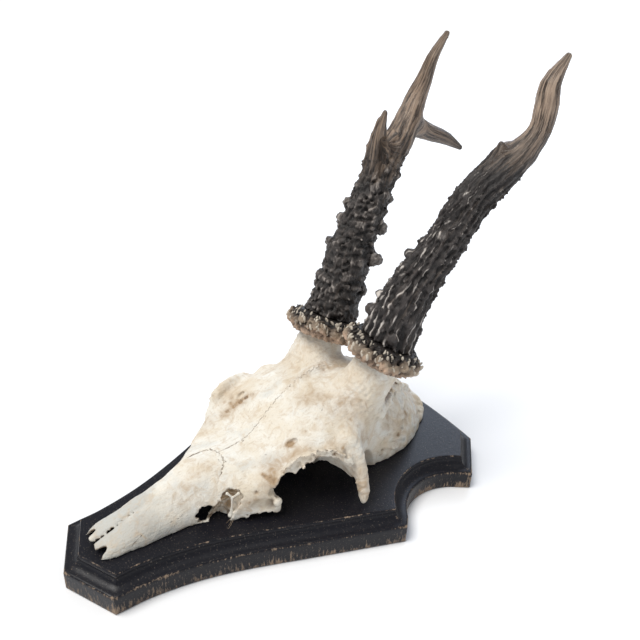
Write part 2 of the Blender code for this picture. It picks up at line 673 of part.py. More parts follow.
def coronet_field_maker(side):
    """Field of a knobbly ring of pearls round an antler's foot, drawn for the left side."""
    n = np.array(CORONET_AXIS) / np.linalg.norm(CORONET_AXIS)
    centre = seat_point(side) + np.array(CORONET_OFFSET) + (GAP + 0.45 * CORONET_TALL) * n
    u = np.cross(n, (0.0, 1.0, 0.0))
    u = u / np.linalg.norm(u)
    v = np.cross(n, u)
    rng = np.random.default_rng(PEARL_SEED + 20 + side)
    drop = seat_point(side) - np.array(PEDICLE_TOP)
    knobs = [(*(np.array(CORONET_KNOB[:3]) + drop), CORONET_KNOB[3])]
    for number in range(CORONET_PEARLS):
        angle = 2 * math.pi * (number + rng.uniform(-0.25, 0.25)) / CORONET_PEARLS
        size = rng.uniform(*CORONET_PEARL_RADIUS)
        reach = CORONET_RADIUS - 0.8 + rng.uniform(-0.8, 0.8)
        place = centre + reach * (math.cos(angle) * u + math.sin(angle) * v)
        knobs.append((*(place + rng.uniform(-1.4, 1.8) * n), size))

    def field(x, y, z):
        px, py, pz = x - centre[0], y - centre[1], z - centre[2]
        h = px * n[0] + py * n[1] + pz * n[2]
        r = np.sqrt(np.maximum(px ** 2 + py ** 2 + pz ** 2 - h ** 2, 0.0))
        body = smooth_max(r - (CORONET_RADIUS - 1.5), np.abs(h) - 0.62 * CORONET_TALL, 5.0)
        for kx, ky, kz, size in knobs:
            body = smooth_min(body, distance_to(x, y, z, kx, ky, kz) - size, 1.2)
        return np.maximum(body, 0.3 - x)

    return field


def make_coronet(side, word):
    field = coronet_field_maker(side)
    points, faces = skin(field, (0.0, 20.0, 50.0), (46.0, 78.0, 98.0), ANTLER_STEP)
    mesh = thinned(points, faces, CORONET_TRIANGLES, "coronet_" + word)
    if side < 0:
        mirrored(mesh)
    seat, normal = coronet_plane(side, GAP)
    head, _ = coronet_plane(side, GAP + CORONET_TALL)
    inner = ("DIFFERENCE", half_space((side * 0.5 * GAP, 0, 0), (-side, 0, 0)))
    return carve(mesh, [("DIFFERENCE", half_space(seat, -normal)), ("DIFFERENCE", half_space(head, normal)),
                        inner], "coronet_" + word, CORONET_MAT)


def make_left_antler():
    tines = ((STUB_PATH, STUB_RADII),)
    mesh, below, above = make_antler(1, "left", BEAM_RADII_LEFT, TOP_RADII_LEFT, tines, LEFT_FORK)
    carve(mesh, below, "beam_left", BEAM_MAT)
    carve(mesh, above, "top_left", TINE_MAT)


def make_right_antler():
    tines = ((FRONT_TINE_PATH, FRONT_TINE_RADII), (REAR_TINE_PATH, REAR_TINE_RADII))
    mesh, below, above = make_antler(-1, "right", BEAM_RADII_RIGHT, TOP_RADII_RIGHT, tines, RIGHT_FORK)
    carve(mesh, below, "beam_right", BEAM_MAT)
    rear_of_front, front_of_main = parting(*FRONT_TINE_ROOT, -1)
    rear_of_main, main_of_rear = parting(*REAR_TINE_ROOT, -1)
    carve(mesh, above + [rear_of_front], "front_tine_right", TINE_MAT)
    carve(mesh, above + [front_of_main, rear_of_main], "main_tine_right", TINE_MAT)
    carve(mesh, above + [main_of_rear], "rear_tine_right", TINE_MAT)


make_plaque()
make_skull()
make_coronet(1, "left")
make_coronet(-1, "right")
make_left_antler()
make_right_antler()
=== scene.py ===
import math

import bpy
import numpy as np
from mathutils import Matrix, Vector

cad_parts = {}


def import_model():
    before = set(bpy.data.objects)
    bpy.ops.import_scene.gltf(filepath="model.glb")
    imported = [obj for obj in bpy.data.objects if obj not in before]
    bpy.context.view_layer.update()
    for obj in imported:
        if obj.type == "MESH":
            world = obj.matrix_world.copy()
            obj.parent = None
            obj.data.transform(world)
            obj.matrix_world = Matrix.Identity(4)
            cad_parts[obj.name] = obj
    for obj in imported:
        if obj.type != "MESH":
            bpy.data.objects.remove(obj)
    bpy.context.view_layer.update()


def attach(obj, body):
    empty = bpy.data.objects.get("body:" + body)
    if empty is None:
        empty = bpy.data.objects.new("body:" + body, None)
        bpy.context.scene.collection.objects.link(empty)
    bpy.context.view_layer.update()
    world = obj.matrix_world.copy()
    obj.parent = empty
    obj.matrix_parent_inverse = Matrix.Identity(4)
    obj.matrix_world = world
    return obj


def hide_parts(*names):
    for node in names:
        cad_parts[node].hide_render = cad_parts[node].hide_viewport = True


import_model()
MM = 0.001


# Camera: held close above the animal's left cheek, a little tilted, looking down at the
# forehead, so the nose is large and the antlers rise away from it.
CAMERA_AZIMUTH = math.radians(50.42)
CAMERA_ELEVATION = math.radians(29.42)
CAMERA_ROLL = math.radians(3.18)
CAMERA_PLACE = (223.15, -158.56, 255.76)
CAMERA_FOCAL = 39.34


def add_object(name, data):
    obj = bpy.data.objects.new(name, data)
    bpy.context.scene.collection.objects.link(obj)
    return obj


back = Vector((math.sin(CAMERA_AZIMUTH) * math.cos(CAMERA_ELEVATION),
               -math.cos(CAMERA_AZIMUTH) * math.cos(CAMERA_ELEVATION), math.sin(CAMERA_ELEVATION)))
level = Vector((math.cos(CAMERA_AZIMUTH), math.sin(CAMERA_AZIMUTH), 0.0))
upright = back.cross(level)
across = math.cos(CAMERA_ROLL) * level + math.sin(CAMERA_ROLL) * upright
upward = -math.sin(CAMERA_ROLL) * level + math.cos(CAMERA_ROLL) * upright
camera_data = bpy.data.cameras.new("camera")
camera_data.sensor_width = 36.0
camera_data.lens = CAMERA_FOCAL
camera_data.clip_start = 0.01
camera = add_object("camera", camera_data)
camera.matrix_world = Matrix.Translation(Vector(CAMERA_PLACE) * MM) @ Matrix(
    (across, upward, back)).transposed().to_4x4()
bpy.context.scene.camera = camera


# Floor and light: a plain pale floor under a bright, even sky, with broad soft daylight from
# above the nose, as by a large window.
FLOOR_COLOR = (0.94, 0.95, 0.97)
FLOOR_SIZE = 60.0
FLOOR_ROUGHNESS = 0.9
SKY_COLOR = (0.93, 0.96, 1.0)
SKY_STRENGTH = 0.44
DAYLIGHT_FROM = (-0.12, -0.44, 1.0)
DAYLIGHT_STRENGTH = 2.6
DAYLIGHT_SPREAD = 34.0
DAYLIGHT_COLOR = (1.0, 0.975, 0.935)
SHEEN_FROM = (-0.80, 1.15, 0.78)        # a cool window beyond, whose shine lies on the paint
SHEEN_AIM = (0.04, 0.09, 0.016)
SHEEN_SIZE = 0.8
SHEEN_POWER = 7.5
SHEEN_COLOR = (0.72, 0.82, 1.0)


def rgb(color):
    """A colour as a node takes it; what comes out of another node is passed on as it is."""
    return (*color, 1.0) if isinstance(color, tuple) else color


def join(tree, value, socket):
    """Gives an input of a node a value, or what comes out of another node."""
    if isinstance(value, bpy.types.NodeSocket):
        tree.links.new(value, socket)
    else:
        socket.default_value = value


def add_node(tree, kind, output=0, settings=None, **inputs):
    """Adds a node and gives back an output of it; inputs go by name, or by n and a number."""
    node = tree.nodes.new(kind)
    for key, value in (settings or {}).items():
        setattr(node, key, value)
    for key, value in inputs.items():
        join(tree, value, node.inputs[int(key[1:]) if key[1:].isdigit() else key.replace("_", " ")])
    return node.outputs[output]


class Look:
    """A material under way: each step adds a node and gives back what comes out of it."""

    def __init__(self, name):
        self.mat = bpy.data.materials.new(name)
        self.mat.use_nodes = True
        self.tree = self.mat.node_tree

    def add(self, kind, output=0, settings=None, **inputs):
        return add_node(self.tree, kind, output, settings, **inputs)

    def mark(self, key, output="Fac"):
        """A number or vector kept at the points of a piece."""
        return self.add("ShaderNodeAttribute", output, {"attribute_name": key})

    def noise(self, where, scale, detail, roughness=0.5, distortion=0.0):
        return self.add("ShaderNodeTexNoise", Vector=where, Scale=scale, Detail=detail,
                        Roughness=roughness, Distortion=distortion)

    def ramp(self, value, low, high, most=1.0, least=0.0):
        return self.add("ShaderNodeMapRange", Value=value, From_Min=low, From_Max=high,
                        To_Min=least, To_Max=most)

    def reckon(self, operation, *terms, clamp=False):
        return self.add("ShaderNodeMath", 0, {"operation": operation, "use_clamp": clamp},
                        **{f"n{number}": term for number, term in enumerate(terms)})

    def total(self, one, share, rest):
        """A share of one, added to the rest."""
        return self.reckon("MULTIPLY_ADD", one, share, rest)

    def blend(self, amount, below, above):
        return self.add("ShaderNodeMix", 2, {"data_type": "RGBA"}, n0=amount, n6=rgb(below), n7=rgb(above))

    def finish(self, color, roughness, shine=0.5, relief=None, strength=0.0, depth=0.0):
        """The finished surface, with its fine relief raised by up to a depth in metres."""
        surface = self.tree.nodes["Principled BSDF"].inputs
        join(self.tree, rgb(color), surface["Base Color"])
        join(self.tree, roughness, surface["Roughness"])
        join(self.tree, shine, surface["Specular IOR Level"])
        if relief is not None:
            bump = self.add("ShaderNodeBump", Height=relief, Strength=strength, Distance=depth)
            join(self.tree, bump, surface["Normal"])
        return self.mat


def add_light(name, kind, power, color, source):
    """A light that shines from the direction of its source."""
    data = bpy.data.lights.new(name, kind)
    data.energy, data.color = power, color
    light = add_object(name, data)
    light.rotation_euler = Vector(source).to_track_quat("Z", "Y").to_euler()
    return light


def build_floor():
    half = 0.5 * FLOOR_SIZE
    mesh = bpy.data.meshes.new("floor")
    mesh.from_pydata([(-half, -half, 0), (half, -half, 0), (half, half, 0), (-half, half, 0)],
                     [], [(0, 1, 2, 3)])
    mesh.materials.append(Look("pale_floor").finish(FLOOR_COLOR, FLOOR_ROUGHNESS))
    add_object("floor", mesh)


build_floor()
sky = bpy.data.worlds.new("sky")
sky.use_nodes = True
sky.node_tree.nodes["Background"].inputs["Color"].default_value = rgb(SKY_COLOR)
sky.node_tree.nodes["Background"].inputs["Strength"].default_value = SKY_STRENGTH
bpy.context.scene.world = sky
bpy.context.scene.view_settings.view_transform = "Standard"
daylight = add_light("daylight", "SUN", DAYLIGHT_STRENGTH, DAYLIGHT_COLOR, DAYLIGHT_FROM)
daylight.data.angle = math.radians(DAYLIGHT_SPREAD)
window = add_light("window", "AREA", SHEEN_POWER, SHEEN_COLOR, Vector(SHEEN_FROM) - Vector(SHEEN_AIM))
window.data.size = SHEEN_SIZE
window.location = SHEEN_FROM


# Plaque: a shield of wood, moulded round its edge with a step and a hollow, painted black.
# The paint is rubbed through to the wood along the arrises and speckled low on the sides.
PLAQUE_THICK = 16.1
PLAQUE_TIP = (0.0, -101.0)
PLAQUE_CHIN = (18.8, -92.4)
PLAQUE_WAIST = ((19.6, -79.0), (23.7, -58.4), (31.4, -35.7), (44.4, -5.0))
PLAQUE_HIP = (59.2, 30.0)
BITE_CENTRE = (77.5, 61.0)
BITE_RADIUS = 35.5
PLAQUE_EAR = (51.2, 85.0)
PLAQUE_SHOULDER = (36.7, 100.7)
PLAQUE_CROWN = (0.0, 103.0)
MOULDING_OUT = 6.59
COVE_IN = 0.5
COVE_DROP = 1.3
COVE_DEPTH = 4.2
EDGE_DROP = 6.0
PAINT_BLACK = (0.0025, 0.0026, 0.005)
PAINT_WORN = (0.009, 0.009, 0.014)
PAINT_DUST = (0.20, 0.17, 0.14)
DARK_WOOD = (0.17, 0.115, 0.08)
BARE_WOOD = (0.38, 0.29, 0.21)


def curve_through(points, count):
    """Points evenly spread in parameter along a smooth curve through the given ones."""
    pts = np.asarray(points, float)
    ends = np.vstack([2 * pts[0] - pts[1], pts, 2 * pts[-1] - pts[-2]])
    rows = []
    for u in np.linspace(0.0, len(pts) - 1.0, count):
        i = min(int(u), len(pts) - 2)
        t = u - i
        a, b, c, d = ends[i:i + 4]
        rows.append(0.5 * (2 * b + (c - a) * t + (2 * a - 5 * b + 4 * c - d) * t ** 2
                           + (3 * b - a - 3 * c + d) * t ** 3))
    return np.array(rows)


def part_way(a, b, share):
    """A flat point between two others, with 0 as it isn't a corner."""
    return a[0] + (b[0] - a[0]) * share, a[1] + (b[1] - a[1]) * share, 0


def plaque_outline():
    """Right half of the painted face from tip to crown, each corner marked with 1."""
    half = [(*PLAQUE_TIP, 1)]
    half += [part_way(PLAQUE_TIP, PLAQUE_CHIN, share) for share in np.linspace(0.1, 0.9, 9)]
    half.append((*PLAQUE_CHIN, 1))
    side = curve_through([PLAQUE_CHIN, *PLAQUE_WAIST, PLAQUE_HIP], 72)
    half += [(x, y, 0) for x, y in side[1:-1]] + [(*PLAQUE_HIP, 1)]
    turns = []
    for x, y in ((PLAQUE_HIP[0] - 1.5, PLAQUE_HIP[1] + 1.0), (PLAQUE_EAR[0] - 1.0, PLAQUE_EAR[1] - 1.5)):
        turns.append(math.atan2(y - BITE_CENTRE[1], x - BITE_CENTRE[0]) % (2 * math.pi))
    for turn in np.linspace(*turns, 48):
        half.append((BITE_CENTRE[0] + BITE_RADIUS * math.cos(turn),
                     BITE_CENTRE[1] + BITE_RADIUS * math.sin(turn), 0))
    half.append((*PLAQUE_EAR, 1))
    half += [part_way(PLAQUE_EAR, PLAQUE_SHOULDER, share) for share in np.linspace(0.08, 0.92, 12)]
    half.append((*PLAQUE_SHOULDER, 1))
    for share in np.linspace(0.95, 0.0, 20):
        rise = (PLAQUE_CROWN[1] - PLAQUE_SHOULDER[1]) * (1.0 - share ** 2)
        half.append((PLAQUE_SHOULDER[0] * share, PLAQUE_SHOULDER[1] + rise, 0))
    return half


def fix(piece, slot, node=None):
    """Everything is fastened down, so each piece rides on the root body."""
    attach(piece, "root")
    if node:
        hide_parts(node)


def mesh_object(name, points, faces, mat, marks):
    """A smooth piece from points in mm, with marks kept at its points for its material."""
    mesh = bpy.data.meshes.new(name)
    mesh.from_pydata((np.asarray(points, float) * MM).tolist(), [], faces)
    mesh.materials.append(mat)
    for key, values in marks.items():
        values = np.asarray(values, np.float32)
        layer = mesh.attributes.new(key, "FLOAT" if values.ndim == 1 else "FLOAT_VECTOR", "POINT")
        layer.data.foreach_set("value" if values.ndim == 1 else "vector", values.ravel())
    mesh.shade_smooth()
    return add_object(name, mesh)


def plaque_levels():
    """(outward offset, height, wear) of each line of the moulding, from the face down."""
    top = PLAQUE_THICK
    levels = [(-0.9, top, 0.0), (-0.35, top, 0.35), (-0.08, top - 0.06, 1.0), (0.12, top - 0.3, 0.8),
              (0.3, top - 0.7, 0.2), (0.42, top - COVE_DROP + 0.1, 0.1),
              (COVE_IN + 0.1, top - COVE_DROP, 0.45)]
    width = MOULDING_OUT - 1.1 - COVE_IN
    for angle in np.linspace(0.12, 1.0, 9) * math.pi / 2:
        levels.append((COVE_IN + width * (1 - math.cos(angle)),
                       top - COVE_DROP - COVE_DEPTH * math.sin(angle), 0.08))
    lip = top - EDGE_DROP
    levels += [(MOULDING_OUT - 0.75, lip + 0.45, 0.3), (MOULDING_OUT - 0.4, lip + 0.25, 0.75),
               (MOULDING_OUT - 0.12, lip - 0.05, 1.0), (MOULDING_OUT, lip - 0.5, 0.75),
               (MOULDING_OUT, lip - 1.6, 0.3)]
    levels += [(MOULDING_OUT, height, wear) for height, wear in
               ((6.4, 0.55), (4.6, 0.7), (3.0, 0.85), (1.8, 1.0), (0.9, 1.1))]
    levels += [(MOULDING_OUT - 0.25, 0.3, 1.0), (MOULDING_OUT - 0.8, 0.0, 0.9)]
    return levels


def paint_material():
    look = Look("black_paint")
    spot = look.add("ShaderNodeTexCoord", "Object")
    broad = look.noise(spot, 70.0, 3.0)
    chips = look.noise(spot, 560.0, 7.0, 0.72)
    drawn = look.add("ShaderNodeMapping", Vector=spot, Scale=(1.0, 1.0, 0.22))
    strokes = look.noise(drawn, 900.0, 5.0, 0.7)
    specks = look.noise(spot, 1500.0, 3.0, 0.6)
    # bare wood shows where the wear, the broad patches and the fine grain add up
    grain = look.add("ShaderNodeMix", 0, {"data_type": "FLOAT"}, n0=look.mark("side"), n2=chips, n3=strokes)
    bare = look.ramp(look.total(broad, 0.40, look.total(look.mark("wear"), 0.25, grain)), 0.95, 1.06)
    dust = look.ramp(specks, 0.62, 0.70, 0.6)
    paint = look.blend(dust, look.blend(chips, PAINT_BLACK, PAINT_WORN), PAINT_DUST)
    wood = look.blend(specks, DARK_WOOD, BARE_WOOD)
    rough = look.reckon("MAXIMUM", look.ramp(chips, 0.3, 0.7, 0.44, 0.30), bare)
    relief = look.total(bare, -0.9, grain)
    return look.finish(look.blend(bare, paint, wood), rough, 0.28, relief, 0.5, 0.00025)


def build_plaque():
    half = plaque_outline()
    outline = np.array(half + [(-x, y, corner) for x, y, corner in half[-2:0:-1]])
    flat, corner = outline[:, :2], outline[:, 2]
    before = flat - np.roll(flat, 1, axis=0)
    after = np.roll(flat, -1, axis=0) - flat
    n1 = np.column_stack([before[:, 1], -before[:, 0]]) / np.linalg.norm(before, axis=1)[:, None]
    n2 = np.column_stack([after[:, 1], -after[:, 0]]) / np.linalg.norm(after, axis=1)[:, None]
    mitre = (n1 + n2) / (1.0 + np.sum(n1 * n2, axis=1))[:, None]
    levels = plaque_levels()
    count = len(flat)
    points, wear, side, faces = [], [], [], []
    for out, height, worn in levels:
        ring = flat + out * mitre
        side += [float(height < PLAQUE_THICK - EDGE_DROP)] * count
        points += [(x, y, height) for x, y in ring]
        wear += list(np.clip(worn + 0.55 * corner * (height > 0.2) * (height < PLAQUE_THICK), 0.0, 1.4))
    for k in range(len(levels) - 1):
        a, b = k * count, (k + 1) * count
        faces += [(a + i, b + i, b + (i + 1) % count, a + (i + 1) % count) for i in range(count)]
    faces += [tuple(range(count)), tuple(range(len(points) - count, len(points)))[::-1]]
    board = mesh_object("plaque_board", points, faces, paint_material(), {"wear": wear, "side": side})
    board.data.set_sharp_from_angle(angle=math.radians(35))
    fix(board, "plaque_paint", "plaque")


build_plaque()


# Skull: the short-cut upper skull of a roebuck, boiled and bleached, hollow below and open
# under the brow. Its form is drawn once, in mm, and then parted into its bones.
SKULL_FLOOR = 16.4
NOSE_Y = -95.0
OCCIPUT_Y = 99.0
BONE_STEP = 0.6
SKULL_STATIONS = (
    # y, height at the midline, height near the side, half width, rounding of the side
    (-95, 19.8, 18.2, 8.5, 3),
    (-88, 22.0, 18.8, 11.5, 4),
    (-72, 27.9, 22.0, 12.6, 6),
    (-56, 33.6, 26.0, 13.2, 8),
    (-44, 37.6, 30.0, 17.0, 10),
    (-34, 38.9, 33.0, 23.5, 9),
    (-24, 40.0, 37.0, 29.0, 7),
    (-14, 42.6, 42.0, 32.5, 5),
    (-6, 48.5, 46.0, 34.5, 4),
    (2, 54.5, 46.0, 36.0, 4),
    (10, 59.0, 45.0, 38.5, 5),
    (20, 61.8, 43.0, 39.0, 8),
    (30, 63.0, 42.0, 34.5, 12),
    (42, 60.8, 43.0, 30.5, 16),
    (56, 56.5, 42.0, 30.5, 20),
    (70, 48.0, 34.0, 28.0, 18),
    (82, 37.5, 25.0, 22.5, 14),
    (90, 28.5, 20.0, 16.5, 9),
    (96, 22.0, 18.0, 13.0, 5),
    (99, 18.5, 16.8, 11.0, 3),
)
STATION_CURVES = [curve_through([(row[0], row[k]) for row in SKULL_STATIONS], 200) for k in range(1, 5)]
ORBIT = ((45.0, 0.5, 19.0), (36.5, 18.6, 27.0))
FOSSA = ((49.0, 34.0, 14.0), (22.5, 13.0, 27.0))
PASSAGE = ((30.0, 20.0, 13.0), (19.0, 14.0, 15.5))
BAR_PATH = ((33.0, 19.0, 44.0), (38.5, 20.5, 38.0), (43.5, 20.6, 30.0), (46.8, 20.0, 23.0),
            (48.0, 19.2, 18.9))
BAR_RADII = (6.5, 4.4, 3.3, 2.7, 1.7)
RIM_PATH = ((30.4, -17.5, 36.5), (33.8, -10.5, 45.0), (35.8, -3.0, 47.0), (37.4, 5.0, 45.6),
            (40.0, 12.6, 40.5))
RIM_RADII = (2.4, 2.9, 3.0, 3.0, 3.2)
BROW_CUT_PATH = ((32.0, -20.4, 29.8), (33.4, -17.6, 34.0), (34.6, -14.6, 39.6), (35.7, -12.2, 43.3),
                 (36.3, -8.8, 45.8), (37.5, -5.6, 47.2), (38.3, -2.3, 47.4), (38.7, 3.0, 46.4),
                 (41.2, 7.5, 44.5), (42.9, 11.0, 42.2))
BROW_CUT_RADII = (1.8, 3.3, 4.3, 4.2, 4.0, 3.6, 3.2, 3.0, 2.9, 2.3)
CREST_PATH = ((0.0, 93.5, 25.5), (6.0, 94.0, 23.5), (11.5, 94.0, 19.5), (16.0, 89.0, 17.0))
CREST_RADII = (2.0, 2.0, 2.0, 1.6)
TEMPORAL_LINE = ((29.0, 44.0, 47.0), (25.0, 52.0, 48.0), (17.0, 64.0, 47.5), (9.0, 78.0, 40.0),
                 (3.0, 90.0, 29.0))
SUTURE_RIDGE = ((-1.8, 8.3, 57.6), (-2.6, 14.0, 59.8), (-2.4, 24.0, 62.0), (-1.6, 31.0, 62.6),
                (-0.5, 39.0, 60.6))
SUTURE_RIDGE_RADII = (0.5, 1.0, 1.4, 1.6, 1.2)
POCKET_PATH = ((19.6, -35.4, 29.2), (18.4, -39.4, 22.0), (17.2, -41.5, 16.0))
POCKET_RADII = (4.0, 4.4, 4.6)
FORAMEN_PATH = ((21.3, -8.4, 47.1), (21.9, -5.9, 47.8), (22.5, -3.5, 48.6))
FORAMEN_RADII = (0.9, 1.6, 1.1)
PEDICLE = ((17.5, 30.0, 46.0), (21.0, 48.4, 73.2))
PEDICLE_RADII = (13.6, 11.0)
SEAT_DROP_RIGHT = 5.5
PEDICLE_FRONT = (25.0, 33.0, 60.0)
NECK_HOLD = (20.0, 64.0, 40.0)
CORONET_AXIS = (0.10, 0.42, 0.90)
# cracks that show as fine dark lines: the lists of points that they run through
CRACKS = (
    ((11.5, -82.4, 17.7), (11.0, -80.3, 19.6), (10.6, -77.7, 20.8), (10.4, -75.3, 22.0),
     (10.2, -73.1, 23.0)),
    ((11.5, -64.4, 22.5), (12.0, -59.1, 22.9), (12.0, -56.5, 24.4), (13.1, -52.8, 24.0)),
    ((15.7, -16.3, 41.6), (17.0, -15.4, 41.9)),
    ((20.0, -13.0, 43.0), (20.0, -12.0, 43.7)),
    ((35.4, -2.3, 49.6), (33.2, 0.4, 48.6)),
    ((35.7, 2.8, 48.9), (33.8, 5.1, 48.4)),
    ((38.7, 7.9, 47.0), (36.9, 10.0, 47.2)),
    ((26.0, 52.6, 41.6), (25.4, 56.3, 41.3)),
    ((29.7, 38.9, 25.0), (30.2, 42.4, 26.9), (29.8, 48.3, 31.1), (29.4, 51.0, 32.8)),
    ((21.8, 2.1, 51.7), (21.8, 4.6, 52.7), (21.5, 7.7, 54.0), (21.2, 11.2, 55.4), (19.0, 14.9, 57.4),
     (16.3, 19.5, 60.2)),
    ((30.3, 44.0, 21.5), (30.2, 50.0, 20.5), (29.9, 57.0, 22.0)),
    ((4.2, -33.8, 38.9), (8.0, -33.9, 38.2)),
)
# stains: place, size and strength of each tan patch; pits: place and radius of each
STAINS = (
    ((24.5, -17.0, 40.5), 6.0, 0.9), ((28.0, -8.0, 45.5), 4.5, 0.6), ((29.5, -21.0, 36.5), 4.5, 0.9),
    ((31.0, -1.0, 48.5), 4.5, 0.45), ((37.0, 11.0, 46.5), 5.0, 0.45), ((17.0, -37.0, 30.0), 6.0, 0.35),
    ((25.4, -30.8, 26.6), 3.0, 0.8), ((27.5, -27.0, 28.6), 2.6, 0.7), ((22.0, -34.0, 23.0), 3.0, 0.55),
    ((9.0, 11.0, 59.0), 5.0, 0.55), ((13.5, 15.5, 59.0), 4.0, 0.6), ((22.0, 22.0, 58.0), 8.0, 0.45),
    ((28.5, 27.0, 56.0), 8.0, 0.5), ((20.0, 36.0, 68.0), 8.0, 0.35), ((-2.0, 20.0, 62.0), 3.5, 0.6),
    ((-1.5, 30.0, 63.0), 4.0, 0.7), ((-20.5, -14.0, 42.5), 4.0, 0.7), ((-18.5, -6.0, 47.5), 4.0, 0.8),
    ((-30.0, -9.0, 46.5), 6.0, 0.5), ((9.0, -55.0, 31.0), 6.0, 0.45), ((6.0, -43.0, 36.5), 5.5, 0.35),
    ((9.0, -75.0, 25.0), 6.0, 0.3), ((27.5, 60.0, 30.0), 8.0, 0.5), ((27.0, 53.0, 38.5), 6.0, 0.45),
    ((13.0, 84.0, 30.0), 8.0, 0.35), ((33.0, 30.6, 41.6), 5.0, 0.6), ((24.0, 68.0, 35.0), 4.0, 0.4),
    ((47.0, 19.0, 24.0), 5.0, 0.8), ((43.0, 20.0, 33.0), 6.0, 0.7), ((22.0, -5.8, 46.4), 1.7, 1.6),
    ((-24.0, -24.0, 38.0), 5.0, 0.5), ((-27.0, 60.0, 30.0), 8.0, 0.4), ((-22.0, 24.0, 57.0), 8.0, 0.4),
    ((-21.0, 40.0, 68.0), 9.0, 0.45), ((0.0, 40.0, 60.0), 7.0, 0.6),
)
PITS = (
    (26.3, -27.4, 32.3, 0.75), (24.0, -22.2, 38.6, 0.55), (25.7, -21.7, 38.5, 0.5),
    (27.6, -20.9, 38.3, 0.6), (29.6, -20.7, 37.4, 0.55), (37.6, 13.3, 46.4, 0.6),
    (33.6, -1.6, 48.8, 0.5), (23.9, 68.0, 34.8, 0.8), (30.3, 47.0, 23.9, 0.7), (29.6, 58.2, 28.4, 1.1),
    (-20.5, -16.6, 41.2, 0.8), (-21.0, -13.6, 42.6, 1.0), (-20.2, -10.2, 44.8, 1.1),
    (-19.0, -7.0, 46.9, 1.3), (-18.0, -4.2, 48.7, 1.0), (-16.6, -1.6, 50.6, 0.9),
    (-23.6, -10.2, 44.6, 0.7), (-27.0, -11.5, 43.9, 0.6), (-25.2, -8.2, 45.9, 0.7),
    (22.6, 2.6, 51.4, 0.4), (21.3, 9.2, 54.8, 0.45), (21.6, -6.6, 47.2, 1.25), (22.1, -5.2, 47.6, 1.25),
    (30.0, 23.7, 53.1, 0.5), (-24.0, 64.0, 35.5, 0.8),
)


def smooth_min(a, b, soft):
    """The smaller of two, rounded over where they are nearly the same."""
    h = np.clip(0.5 + 0.5 * (b - a) / soft, 0.0, 1.0)
    return b + (a - b) * h - soft * h * (1.0 - h)


def smooth_max(a, b, soft):
    return -smooth_min(-a, -b, soft)


def tube(x, y, z, path, radii, count):
    """Distance to a round tube whose radius changes along a smooth path."""
    rows = curve_through(np.column_stack([np.asarray(path, float), radii]), count)
    nearest = np.full(x.shape, 1e3)
    for a, b in zip(rows[:-1], rows[1:]):
        d = b[:3] - a[:3]
        t = np.clip(((x - a[0]) * d[0] + (y - a[1]) * d[1] + (z - a[2]) * d[2]) / (d @ d), 0.0, 1.0)
        away = np.sqrt((x - a[0] - t * d[0]) ** 2 + (y - a[1] - t * d[1]) ** 2 + (z - a[2] - t * d[2]) ** 2)
        nearest = np.minimum(nearest, away - (a[3] + (b[3] - a[3]) * t))
    return nearest


def egg(x, y, z, centre, size):
    """Roughly the distance to an ellipsoid."""
    u, v, w = (x - centre[0]) / size[0], (y - centre[1]) / size[1], (z - centre[2]) / size[2]
    return (np.sqrt(u * u + v * v + w * w) - 1.0) * min(size)


def ball(x, y, z, centre, radius):
    return np.sqrt((x - centre[0]) ** 2 + (y - centre[1]) ** 2 + (z - centre[2]) ** 2) - radius


def ripples(x, y, z, seed, length, count=10):
    """Gentle random unevenness of about one unit, with bumps of the given length."""
    rng = np.random.default_rng(seed)
    total = np.zeros(x.shape)
    for _ in range(count):
        way = rng.normal(size=3)
        way *= 2 * math.pi / (length * rng.uniform(0.7, 1.5) * np.linalg.norm(way))
        total += np.sin(way[0] * x + way[1] * y + way[2] * z + rng.uniform(0, 6.28))
    return total / math.sqrt(0.5 * count)


def blob(x, y, z, centre, size):
    """One at a place, fading to nothing over the given size."""
    return np.exp(-((x - centre[0]) ** 2 + (y - centre[1]) ** 2 + (z - centre[2]) ** 2) / size ** 2)


def suture_x(y):
    """Where the bones of the two sides meet, wandering a little and finely toothed."""
    run = np.interp(y, (-95, -14, -5, 0, 8, 14, 24, 31, 45),
                    (0, 0.1, -0.8, -1.5, -1.8, -2.5, -2.2, -1.5, 0))
    teeth = np.clip((y + 30.0) / 30.0, 0.0, 1.0)
    return run + teeth * (0.35 * np.sin(1.9 * y) + 0.25 * np.sin(4.3 * y + 1.0))


def nasal_root(x):
    """How far back the nasal and upper jaw bones reach at each distance from the midline."""
    near = np.interp(x, (0, 3.8, 7.0, 9.9, 12.7, 16.0, 24.0),
                     (-31.3, -31.3, -32.5, -35.3, -39.4, -42.5, -46.0))
    far = np.interp(-x, (0, 2.5, 5.3, 6.8, 7.4, 10.0, 24.0),
                    (-31.4, -32.2, -34.6, -37.6, -43.5, -46.0, -48.0))
    return np.where(x > 0, near, far) + 0.3 * np.sin(3.1 * x) + 0.2 * np.sin(6.0 * x + 1.0)


def seam_distance(x, y):
    """Distance, seen from above, to the seams of the forehead that can still be seen."""
    slope = (nasal_root(x + 0.1) - nasal_root(x - 0.1)) / 0.2
    crosswise = np.abs(y - nasal_root(x)) / np.sqrt(1.0 + slope ** 2)
    crosswise = crosswise + 9.0 * (np.clip((x - 11.5) / 20.0, 0, 1) + np.clip(-7.3 - x, 0, 1))
    middle = np.abs(x - suture_x(y)) + 9.0 * (np.clip(-31.3 - y, 0, 1) + np.clip(y - 40.0, 0, 1))
    return np.minimum(crosswise, middle)


def orbit_wall_foot(x, y):
    """Height of the ragged lower edge of the eye socket's inner wall."""
    return (26.0 + 0.10 * (y + 4.0) + 0.7 * np.sin(1.1 * y + 0.4 * x) + 0.4 * np.sin(2.7 * y)
            + 8.0 * np.clip((-9.0 - y) / 3.5, 0.0, 1.0))


